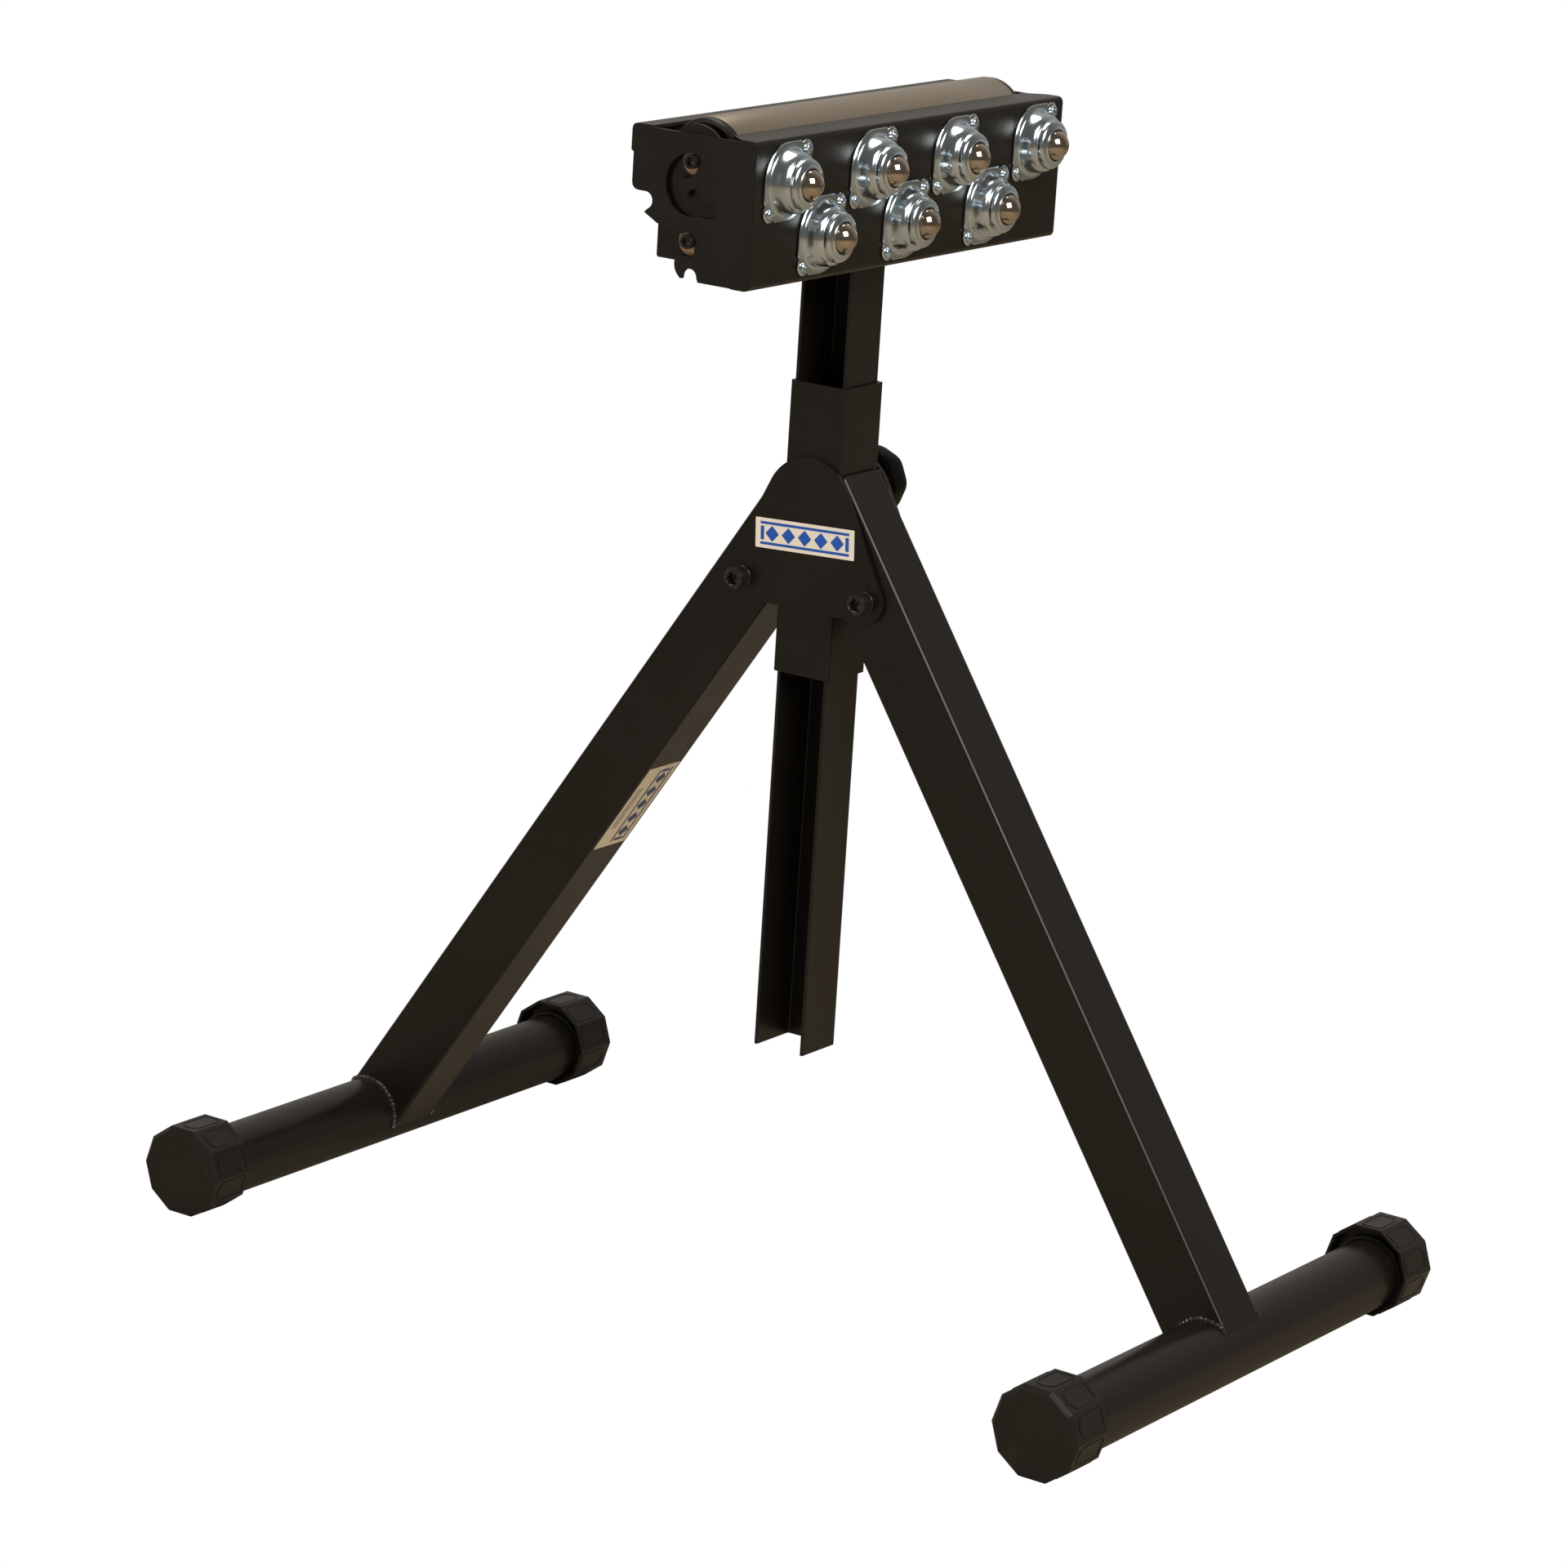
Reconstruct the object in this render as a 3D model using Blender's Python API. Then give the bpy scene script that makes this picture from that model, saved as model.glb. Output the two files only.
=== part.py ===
# Folding roller stand with a three-way head.
# Metres, +Z up. The origin is on the floor under the post.
# X runs along the roller, the two legs spread along Y, and the ball plate faces -Y.

import math

import bmesh
import bpy
from mathutils import Vector
from mathutils.geometry import tessellate_polygon

# General fits
SEAT_GAP = 0.0003            # between pieces that touch
RUNNING_GAP = 0.00008        # round a shaft that turns in its bearing

# Foot tubes and their ten-sided end caps, which sit off centre on the tube for levelling
FOOT_RADIUS = 0.0254
FOOT_WALL = 0.002
FOOT_TUBE_LENGTH = 0.471
CAP_SIDES = 10
CAP_APOTHEM = 0.0325
CAP_OFFSET = 0.0039          # of the cap's centre above the tube's axis
CAP_LENGTH = 0.040
CAP_END_WALL = 0.004
CAP_CHAMFER = 0.003
CAP_SKIRT_WALL = 0.0025
CAP_SOCKET_WALL = 0.0028
CAP_RECESS_DEPTH = 0.009
CAP_SOCKET_SETBACK = 0.003

# Leg tubes
LEG_WIDTH = 0.0460
LEG_DEPTH = 0.050
LEG_WALL = 0.002
LEG_CORNER = 0.003
LEG_ANGLE = math.radians(33.8)
LEG_TOP_CLEARANCE = 0.0023

# Sleeve that guides the post
SLEEVE_WIDTH = LEG_WIDTH + 2 * SEAT_GAP
SLEEVE_DEPTH = 0.0474
SLEEVE_WALL = 0.002
SLEEVE_CORNER = 0.003
SLEEVE_DROP = 0.063          # of its lower end below the leg bolts
SLEEVE_RISE = 0.145          # of its upper end above them

# Gusset plates, with a round crown and a round lobe at each leg bolt
GUSSET_THICKNESS = 0.003
GUSSET_CROWN_RADIUS = 0.036
GUSSET_LOBE_RADIUS = 0.015
GUSSET_RISE = 0.0935         # of its top above the leg bolts
BOLT_SPREAD = 0.0522
BOLT_HEIGHT = 0.5009

# Leg bolts
BOLT_RADIUS = 0.005
BOLT_HEAD_RADIUS = 0.008
BOLT_HEAD_HEIGHT = 0.010
BOLT_SOCKET = 0.004
BOLT_SOCKET_DEPTH = 0.005
BOLT_WASHER_RADIUS = 0.0098
BOLT_WASHER_THICKNESS = 0.0016
BOLT_NUT_FLATS = 0.0085
BOLT_NUT_HEIGHT = 0.008
BOLT_TAIL = 0.002

# Post, a channel that is open towards -X
POST_GAP = 0.0006
POST_WALL = 0.0025
POST_CORNER = 0.003
POST_BOTTOM = 0.1619

# Clamp: welded nut, stud and scalloped knob
CLAMP_DROP = 0.0265          # of its axis below the gusset's top
STUD_RADIUS = 0.005
CLAMP_NUT_FLATS = 0.0085
CLAMP_NUT_HEIGHT = 0.008
KNOB_STANDOFF = 0.005
KNOB_LENGTH = 0.023
KNOB_RADIUS = 0.0247
KNOB_SCALLOPS = 8
KNOB_SCALLOP_DEPTH = 0.0006
KNOB_HUB_RADIUS = 0.011
KNOB_HUB_LENGTH = 0.006
KNOB_EDGE = 0.0035
STUD_IN_KNOB = 0.012

# Head bracket, a wide U that carries the roller
BRACKET_LIFT = 0.0117        # of its web above the ball plate's lower edge
BRACKET_CROWN = 0.0165       # of its ends above the roller's axis
BRACKET_ARCH_RADIUS = 0.0245 # of the round top on its left end
BRACKET_HALF_WIDTH = 0.0285
BRACKET_WALL = 0.0025

# Roller and its axle
ROLLER_DROP = 0.0195         # of its axis below the ball plate's upper edge
ROLLER_RADIUS = 0.0285
ROLLER_WALL = 0.002
ROLLER_END_SPACE = 0.020     # between the tube's end and the shell's
ROLLER_CAP_PROUD = 0.0065
ROLLER_CAP_FACE_RADIUS = 0.0278
ROLLER_CAP_PLUG = 0.015
ROLLER_CAP_DISH = 0.003
ROLLER_CAP_RIM = 0.0035
BEARING_RADIUS = 0.014
BEARING_WIDTH = 0.008
AXLE_RADIUS = 0.006

# Hanger screws: two a side, whose heads are the pins that the ball plate hangs on
PIN_RADIUS = 0.005
PIN_SPACING = 0.0535
PIN_HEAD_HEIGHT = 0.006
PIN_SOCKET = 0.0025
PIN_SOCKET_DEPTH = 0.003
SCREW_RADIUS = 0.003
SCREW_LENGTH = 0.014
HANGER_WASHER_RADIUS = 0.0098
HANGER_WASHER_THICKNESS = 0.0014
HANGER_NUT_FLATS = 0.005
HANGER_NUT_HEIGHT = 0.005

# Ball plate shell
SHELL_HALF_LENGTH = 0.1875
SHELL_HALF_DEPTH = 0.051
SHELL_TOP = 0.8359
SHELL_HEIGHT = 0.100
SHELL_WALL = 0.002
SHELL_BEND = 0.004
FLANGE_WIDTH = 0.0145        # along the lower edge
UPPER_FLANGE_WIDTH = 0.027
MITRE_LENGTH = 0.011         # of the upper flange's cut corners, along X
MITRE_WIDTH = 0.014
RAIL_FLANGE_WIDTH = 0.017
END_PLATE_INSET = 0.0002     # of its outline within the folded sheet
END_PLATE_PROUD = 0.0003     # of its face beyond the sheet's end
END_PLATE_DIP = 0.0012       # of its top edge between the two flanges
BACK_RAIL_HEIGHT = 0.0185
PIN_CLEARANCE = 0.0004       # round a pin in its slot
SWING_RADIUS = 0.016         # of the path that the pins follow round the tongue
LIFTED_SEAT_OFFSET = -0.0025
LIFTED_SEAT_DROP = 0.0237
HANG_SEAT_OFFSET = 0.0372
HANG_SEAT_DROP = 0.031

# Ball transfer units
UNIT_END_MARGIN = 0.03645    # from the shell's end to the first unit
UNIT_LEAST_PITCH = 0.0995
UPPER_ROW_DROP = 0.0289
ROW_SPACING = 0.0398
LOWER_ROW_SHIFT = 0.0434
UNIT_HALF_WIDTH = 0.0265
UNIT_EAR_RADIUS = 0.007
UNIT_FLANGE = 0.0016
BALL_RADIUS = 0.0111
BALL_STANDOFF = 0.0172
BALL_CLEARANCE = 0.0003
UNIT_LIP_WALL = 0.0013

# Facets
FINE = 36
ROUND = 20
SMALL = 8

# Places that follow from the sizes above
GUSSET_TOP = BOLT_HEIGHT + GUSSET_RISE
CLAMP_HEIGHT = GUSSET_TOP - CLAMP_DROP
SLEEVE_BOTTOM = BOLT_HEIGHT - SLEEVE_DROP
SLEEVE_TOP = BOLT_HEIGHT + SLEEVE_RISE
SHELL_BOTTOM = SHELL_TOP - SHELL_HEIGHT
BACK_RAIL_BOTTOM = SHELL_TOP - BACK_RAIL_HEIGHT
ROLLER_HEIGHT = SHELL_TOP - ROLLER_DROP
BRACKET_BASE = SHELL_BOTTOM + BRACKET_LIFT
BRACKET_TOP = ROLLER_HEIGHT + BRACKET_CROWN
HANG_SEAT_HEIGHT = ROLLER_HEIGHT - HANG_SEAT_DROP
ROLLER_HALF_LENGTH = SHELL_HALF_LENGTH - ROLLER_END_SPACE
UNIT_SPAN = 2 * (SHELL_HALF_LENGTH - UNIT_END_MARGIN)
UPPER_ROW_COUNT = int(UNIT_SPAN / UNIT_LEAST_PITCH) + 1
LOWER_ROW_COUNT = UPPER_ROW_COUNT - 1
UNIT_PITCH = UNIT_SPAN / (UPPER_ROW_COUNT - 1)
UPPER_ROW_HEIGHT = SHELL_TOP - UPPER_ROW_DROP
LOWER_ROW_HEIGHT = UPPER_ROW_HEIGHT - ROW_SPACING
CAP_SKIRT = CAP_APOTHEM - CAP_SKIRT_WALL
CAP_OUTER_X = FOOT_TUBE_LENGTH / 2 + SEAT_GAP + CAP_END_WALL
FOOT_HEIGHT = CAP_APOTHEM - CAP_OFFSET
LEG_LENGTH = (BOLT_HEIGHT - FOOT_HEIGHT) / math.cos(LEG_ANGLE)
FOOT_SPREAD = BOLT_SPREAD + LEG_LENGTH * math.sin(LEG_ANGLE)
GUSSET_INNER = SLEEVE_WIDTH / 2 + SEAT_GAP
GUSSET_OUTER = GUSSET_INNER + GUSSET_THICKNESS
GUSSET_CROWN_HEIGHT = GUSSET_TOP - GUSSET_CROWN_RADIUS
POST_HALF_WIDTH = SLEEVE_WIDTH / 2 - SLEEVE_WALL - POST_GAP
POST_HALF_DEPTH = SLEEVE_DEPTH / 2 - SLEEVE_WALL - POST_GAP
CLAMP_NUT_END = GUSSET_OUTER + SEAT_GAP + CLAMP_NUT_HEIGHT
KNOB_START = CLAMP_NUT_END + KNOB_STANDOFF
KNOB_END = KNOB_START + KNOB_LENGTH
LOWER_PIN_HEIGHT = ROLLER_HEIGHT - PIN_SPACING
PIN_UNDERSIDE = SHELL_HALF_LENGTH - SHELL_WALL - SEAT_GAP
BRACKET_OUTER = PIN_UNDERSIDE - HANGER_WASHER_THICKNESS - 2 * SEAT_GAP
AXLE_END = BRACKET_OUTER - BRACKET_WALL - SEAT_GAP
SLOT_RADIUS = PIN_RADIUS + PIN_CLEARANCE
ISLAND_RADIUS = SWING_RADIUS - SLOT_RADIUS
SWING_HEIGHT = ROLLER_HEIGHT - SWING_RADIUS
LOWER_SWING_HEIGHT = LOWER_PIN_HEIGHT - SWING_RADIUS


def clear_scene():
    for item in list(bpy.data.objects):
        bpy.data.objects.remove(item, do_unlink=True)


def make_material(name, colour, roughness, metallic=0.0):
    material = bpy.data.materials.new(name)
    material.use_nodes = True
    shader = material.node_tree.nodes["Principled BSDF"]
    shader.inputs["Base Color"].default_value = (*colour, 1.0)
    shader.inputs["Roughness"].default_value = roughness
    shader.inputs["Metallic"].default_value = metallic
    return material


def arc(centre, radius, start, end, steps):
    """Points on an arc from one angle to another, in degrees, with both ends."""
    angles = [math.radians(start + (end - start) * i / steps) for i in range(steps + 1)]
    return [(centre[0] + radius * math.cos(a), centre[1] + radius * math.sin(a)) for a in angles]


def rounded_rectangle(width, depth, corner, steps=3, side_points=0):
    """A centred rectangle with round corners and extra points along its depth."""
    x, y = width / 2 - corner, depth / 2 - corner
    points = []
    for quarter, (cx, cy) in enumerate(((x, y), (-x, y), (-x, -y), (x, -y))):
        points += arc((cx, cy), corner, 90 * quarter, 90 * quarter + 90, steps)
        if quarter in (1, 3):
            edge_x = -width / 2 if quarter == 1 else width / 2
            direction = -1 if quarter == 1 else 1
            for i in range(1, side_points + 1):
                points.append((edge_x, direction * (-y + 2 * y * i / (side_points + 1))))
    return points


def place(axis, along, point):
    """Puts a flat point at a distance along the X, Y or Z axis."""
    u, v = point
    return {"X": (along, u, v), "Y": (u, along, v), "Z": (u, v, along)}[axis]


def finish(name, mesh_data, material, smooth_angle=40):
    """Turns a bmesh into a named object with outward faces."""
    bmesh.ops.recalc_face_normals(mesh_data, faces=mesh_data.faces)
    mesh = bpy.data.meshes.new(name)
    mesh_data.to_mesh(mesh)
    mesh_data.free()
    mesh.materials.append(material)
    mesh.shade_smooth()
    mesh.set_sharp_from_angle(angle=math.radians(smooth_angle))
    item = bpy.data.objects.new(name, mesh)
    bpy.context.scene.collection.objects.link(item)
    return item


def prism_mesh(axis, low, high, outer, holes=()):
    """Extrudes a flat outline, with holes, between two planes."""
    mesh_data = bmesh.new()
    loops = [outer, *holes]
    flat = [point for loop in loops for point in loop]
    bottom = [mesh_data.verts.new(place(axis, low, point)) for point in flat]
    top = [mesh_data.verts.new(place(axis, high, point)) for point in flat]
    for corners in tessellate_polygon([[Vector((*point, 0)) for point in loop] for loop in loops]):
        mesh_data.faces.new([bottom[i] for i in corners])
        mesh_data.faces.new([top[i] for i in reversed(corners)])
    start = 0
    for loop in loops:
        for i in range(len(loop)):
            a, b = start + i, start + (i + 1) % len(loop)
            mesh_data.faces.new((bottom[a], bottom[b], top[b], top[a]))
        start += len(loop)
    return mesh_data


def prism(name, axis, low, high, outer, material, holes=()):
    return finish(name, prism_mesh(axis, low, high, outer, holes), material)


def polygon_factor(angle, sides):
    """How far a polygon's edge lies beyond its apothem at an angle, flat side down."""
    step = 2 * math.pi / sides
    offset = (angle + math.pi / 2 + step / 2) % step - step / 2
    return 1 / math.cos(offset)


def turned(name, origin, axis, profile, material, steps, closed=False, shapes=None):
    """Revolves points (radius, distance along the axis) about an axis through origin.

    A closed profile makes a ring. An open one starts and ends on the axis.
    shapes maps a point's index to a function of the angle that scales its radius.
    """
    mesh_data = bmesh.new()
    shapes = shapes or {}
    rings = []
    for index, (radius, along) in enumerate(profile):
        if radius == 0:
            rings.append([mesh_data.verts.new(origin + Vector(place(axis, along, (0, 0))))])
            continue
        scale = shapes.get(index, lambda angle: 1.0)
        ring = []
        for i in range(steps):
            angle = 2 * math.pi * i / steps
            reach = radius * scale(angle)
            point = (reach * math.cos(angle), reach * math.sin(angle))
            ring.append(mesh_data.verts.new(origin + Vector(place(axis, along, point))))
        rings.append(ring)
    pairs = list(zip(rings, rings[1:]))
    if closed:
        pairs.append((rings[-1], rings[0]))
    for first, second in pairs:
        for i in range(steps):
            j = (i + 1) % steps
            if len(first) == 1:
                mesh_data.faces.new((first[0], second[i], second[j]))
            elif len(second) == 1:
                mesh_data.faces.new((first[i], first[j], second[0]))
            else:
                mesh_data.faces.new((first[i], first[j], second[j], second[i]))
    return finish(name, mesh_data, material)


def cutter(name, origin, axis, radius, low, high, steps=SMALL):
    """A hidden round bar that drills other objects."""
    profile = [(0, low), (radius, low), (radius, high), (0, high)]
    item = turned(name, origin, axis, profile, MATERIALS["steel"], steps)
    item.hide_render = True
    item.display_type = "WIRE"
    return item


def combine(item, other, operation):
    modifier = item.modifiers.new(other.name, "BOOLEAN")
    modifier.operation = operation
    modifier.solver = "EXACT"
    modifier.object = other


def hide_helper(item):
    item.hide_render = True
    item.display_type = "WIRE"
    return item


def socket_screw(name, origin, side, sizes, material):
    """A socket-head screw along X. Its head's underside is at origin, and side points outwards."""
    radius, length, head_radius, head_height, socket, socket_depth = sizes
    chamfer = head_height * 0.1
    profile = [
        (0, -length), (radius, -length), (radius, 0), (head_radius, 0),
        (head_radius, head_height - chamfer), (head_radius - chamfer, head_height),
        (socket, head_height), (socket, head_height - socket_depth), (0, head_height - socket_depth),
    ]
    hexagon = lambda angle: polygon_factor(angle, 6)
    profile = [(r, side * along) for r, along in profile]
    return turned(name, origin, "X", profile, material, SMALL, shapes={6: hexagon, 7: hexagon})


def ring(name, origin, axis, inner, outer, low, high, material, steps=ROUND, sides=0):
    """A flat ring, or a nut when it is given a number of sides."""
    profile = [(inner, low), (outer, low), (outer, high), (inner, high)]
    shapes = {}
    if sides:
        flats = lambda angle: polygon_factor(angle, sides)
        shapes = {1: flats, 2: flats}
    return turned(name, origin, axis, profile, material, steps, closed=True, shapes=shapes)


def build_foot(tag, direction):
    """A foot tube with a ten-sided cap on each end."""
    centre = Vector((0, direction * FOOT_SPREAD, FOOT_HEIGHT))
    half = FOOT_TUBE_LENGTH / 2
    ring(f"foot_tube_{tag}", centre, "X", FOOT_RADIUS - FOOT_WALL, FOOT_RADIUS, -half, half,
         MATERIALS["powder"], steps=FINE)
    bore = FOOT_RADIUS + SEAT_GAP
    middle = centre + Vector((0, 0, CAP_OFFSET))
    decagon = lambda angle: polygon_factor(angle, CAP_SIDES)
    mouth = CAP_OUTER_X - CAP_LENGTH
    floor = mouth + CAP_RECESS_DEPTH
    for side_name, side in (("left", -1), ("right", 1)):
        profile = [
            (0, CAP_OUTER_X), (CAP_APOTHEM - CAP_CHAMFER, CAP_OUTER_X),
            (CAP_APOTHEM, CAP_OUTER_X - CAP_CHAMFER), (CAP_APOTHEM, mouth), (CAP_SKIRT, mouth),
            (CAP_SKIRT, floor), (0, floor),
        ]
        profile = [(radius, side * along) for radius, along in profile]
        shapes = {index: decagon for index in (1, 2, 3, 4, 5)}
        cap = turned(f"foot_cap_{tag}_{side_name}", middle, "X", profile, MATERIALS["plastic"],
                     CAP_SIDES, shapes=shapes)
        low, high = sorted((side * (mouth + CAP_SOCKET_SETBACK), side * (floor + CAP_END_WALL)))
        socket = cutter(f"socket_shape_{tag}_{side_name}", centre, "X", bore + CAP_SOCKET_WALL, low, high, FINE)
        combine(cap, socket, "UNION")
        low, high = sorted((side * (mouth - CAP_END_WALL), side * (CAP_OUTER_X - CAP_END_WALL)))
        drill = cutter(f"bore_shape_{tag}_{side_name}", centre, "X", bore, low, high, FINE)
        combine(cap, drill, "DIFFERENCE")


def build_leg(tag, direction):
    """A rectangular tube from its bolt to its foot.

    Its top is cut upright beside the sleeve, and its lower end is coped onto the foot tube.
    """
    along = Vector((0, direction * math.sin(LEG_ANGLE), -math.cos(LEG_ANGLE)))
    across = Vector((0, direction * math.cos(LEG_ANGLE), math.sin(LEG_ANGLE)))
    pivot = Vector((0, direction * BOLT_SPREAD, BOLT_HEIGHT))
    cut = SLEEVE_DEPTH / 2 + LEG_TOP_CLEARANCE
    saddle = FOOT_RADIUS + SEAT_GAP
    mesh_data = bmesh.new()
    walls = []
    for inset in (0, LEG_WALL):
        outline = rounded_rectangle(LEG_WIDTH - 2 * inset, LEG_DEPTH - 2 * inset, LEG_CORNER - inset * 0.6,
                                    side_points=10)
        top, bottom = [], []
        for x, depth in outline:
            start = (cut - BOLT_SPREAD - depth * math.cos(LEG_ANGLE)) / math.sin(LEG_ANGLE)
            end = LEG_LENGTH - math.sqrt(saddle ** 2 - depth ** 2)
            base = pivot + across * depth + Vector((x, 0, 0))
            top.append(mesh_data.verts.new(base + along * start))
            bottom.append(mesh_data.verts.new(base + along * end))
        walls.append((top, bottom))
    (outer_top, outer_bottom), (inner_top, inner_bottom) = walls
    count = len(outer_top)
    for i in range(count):
        j = (i + 1) % count
        mesh_data.faces.new((outer_top[i], outer_top[j], outer_bottom[j], outer_bottom[i]))
        mesh_data.faces.new((inner_top[i], inner_top[j], inner_bottom[j], inner_bottom[i]))
        mesh_data.faces.new((outer_top[i], outer_top[j], inner_top[j], inner_top[i]))
        mesh_data.faces.new((outer_bottom[i], outer_bottom[j], inner_bottom[j], inner_bottom[i]))
    leg = finish(f"leg_tube_{tag}", mesh_data, MATERIALS["powder"])
    reach = LEG_WIDTH
    drill = cutter(f"bolt_hole_{tag}", pivot, "X", BOLT_RADIUS + SEAT_GAP, -reach, reach, ROUND)
    combine(leg, drill, "DIFFERENCE")


def build_sleeve():
    outer = rounded_rectangle(SLEEVE_WIDTH, SLEEVE_DEPTH, SLEEVE_CORNER)
    inner = rounded_rectangle(SLEEVE_WIDTH - 2 * SLEEVE_WALL, SLEEVE_DEPTH - 2 * SLEEVE_WALL,
                              SLEEVE_CORNER - SLEEVE_WALL * 0.6)
    sleeve = prism("sleeve", "Z", SLEEVE_BOTTOM, SLEEVE_TOP, outer, MATERIALS["powder"], holes=[inner])
    drill = cutter("stud_hole", Vector((0, 0, CLAMP_HEIGHT)), "X", STUD_RADIUS + SEAT_GAP,
                   POST_HALF_WIDTH, SLEEVE_WIDTH)
    combine(sleeve, drill, "DIFFERENCE")


def tangent_angle():
    """Angle of the gusset's slanting edges, seen from the crown's centre, in degrees."""
    run = BOLT_SPREAD
    drop = GUSSET_CROWN_HEIGHT - BOLT_HEIGHT
    slope = math.atan2(-drop, run)
    turn = math.acos((GUSSET_CROWN_RADIUS - GUSSET_LOBE_RADIUS) / math.hypot(run, drop))
    return math.degrees(slope + turn)


def build_gussets():
    """Two bell-shaped plates, welded on the sleeve, that hold the legs between them."""
    lean = tangent_angle()
    crown = (0, GUSSET_CROWN_HEIGHT)
    outline = arc(crown, GUSSET_CROWN_RADIUS, lean, 180 - lean, 20)
    outline += arc((-BOLT_SPREAD, BOLT_HEIGHT), GUSSET_LOBE_RADIUS, 180 - lean, 270, 12)
    outline += arc((BOLT_SPREAD, BOLT_HEIGHT), GUSSET_LOBE_RADIUS, 270, 360 + lean, 12)
    bolt_holes = [
        arc((side * BOLT_SPREAD, BOLT_HEIGHT), BOLT_RADIUS + SEAT_GAP, 0, 340, 17) for side in (-1, 1)
    ]
    stud_hole = arc((0, CLAMP_HEIGHT), STUD_RADIUS + SEAT_GAP, 0, 340, 17)
    prism("gusset_left", "X", -GUSSET_OUTER, -GUSSET_INNER, outline, MATERIALS["powder"], holes=bolt_holes)
    prism("gusset_right", "X", GUSSET_INNER, GUSSET_OUTER, outline, MATERIALS["powder"],
          holes=[*bolt_holes, stud_hole])


def build_leg_bolt(tag, direction):
    """A socket-head bolt through both gussets and the leg, with its washer and nut."""
    pivot = Vector((0, direction * BOLT_SPREAD, BOLT_HEIGHT))
    washer = GUSSET_OUTER + SEAT_GAP
    head = washer + BOLT_WASHER_THICKNESS + SEAT_GAP
    nut = GUSSET_OUTER + SEAT_GAP
    length = head + nut + BOLT_NUT_HEIGHT + BOLT_TAIL
    sizes = (BOLT_RADIUS, length, BOLT_HEAD_RADIUS, BOLT_HEAD_HEIGHT, BOLT_SOCKET, BOLT_SOCKET_DEPTH)
    socket_screw(f"leg_bolt_{tag}", pivot + Vector((-head, 0, 0)), -1, sizes, MATERIALS["black_steel"])
    ring(f"leg_bolt_washer_{tag}", pivot, "X", BOLT_RADIUS + SEAT_GAP, BOLT_WASHER_RADIUS,
         -washer - BOLT_WASHER_THICKNESS, -washer, MATERIALS["black_steel"])
    ring(f"leg_bolt_nut_{tag}", pivot, "X", BOLT_RADIUS + SEAT_GAP, BOLT_NUT_FLATS,
         nut, nut + BOLT_NUT_HEIGHT, MATERIALS["black_steel"], steps=24, sides=6)


def build_clamp():
    """A welded nut, a stud that presses on the post, and a scalloped knob."""
    centre = Vector((0, 0, CLAMP_HEIGHT))
    ring("clamp_nut", centre, "X", STUD_RADIUS + SEAT_GAP, CLAMP_NUT_FLATS, GUSSET_OUTER + SEAT_GAP,
         CLAMP_NUT_END, MATERIALS["powder"], steps=24, sides=6)
    tip = POST_HALF_WIDTH + SEAT_GAP
    stud_end = KNOB_START + STUD_IN_KNOB
    stud = [(0, tip), (STUD_RADIUS, tip), (STUD_RADIUS, stud_end), (0, stud_end)]
    turned("clamp_stud", centre, "X", stud, MATERIALS["steel"], SMALL)
    bore = STUD_RADIUS + RUNNING_GAP
    skirt = KNOB_START + KNOB_HUB_LENGTH
    knob = [
        (0, stud_end + SEAT_GAP), (bore, stud_end + SEAT_GAP),
        (bore, KNOB_START), (KNOB_HUB_RADIUS, KNOB_START),
        (KNOB_HUB_RADIUS, skirt), (KNOB_RADIUS - KNOB_EDGE, skirt), (KNOB_RADIUS, skirt + KNOB_EDGE),
        (KNOB_RADIUS, KNOB_END - KNOB_EDGE), (KNOB_RADIUS - KNOB_EDGE * 0.3, KNOB_END - KNOB_EDGE * 0.3),
        (KNOB_RADIUS - KNOB_EDGE, KNOB_END), (0, KNOB_END),
    ]
    scallop = lambda angle: 1 - KNOB_SCALLOP_DEPTH / KNOB_RADIUS * (1 - math.cos(KNOB_SCALLOPS * angle))
    turned("clamp_knob", centre, "X", knob, MATERIALS["plastic"], 6 * KNOB_SCALLOPS,
           shapes={index: scallop for index in range(5, 10)})


def build_post():
    """A folded channel, open towards -X, that slides in the sleeve."""
    x, y, corner = POST_HALF_WIDTH, POST_HALF_DEPTH, POST_CORNER
    inner_corner = POST_CORNER - POST_WALL * 0.6
    ix, iy = x - POST_WALL, y - POST_WALL
    outline = [(-x, -y)]
    outline += arc((x - corner, -y + corner), corner, -90, 0, 3)
    outline += arc((x - corner, y - corner), corner, 0, 90, 3)
    outline += [(-x, y), (-x, iy)]
    outline += arc((ix - inner_corner, iy - inner_corner), inner_corner, 90, 0, 3)
    outline += arc((ix - inner_corner, -iy + inner_corner), inner_corner, 0, -90, 3)
    outline += [(-x, -iy)]
    prism("post", "Z", POST_BOTTOM, BRACKET_BASE - SEAT_GAP, outline, MATERIALS["powder"])


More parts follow.
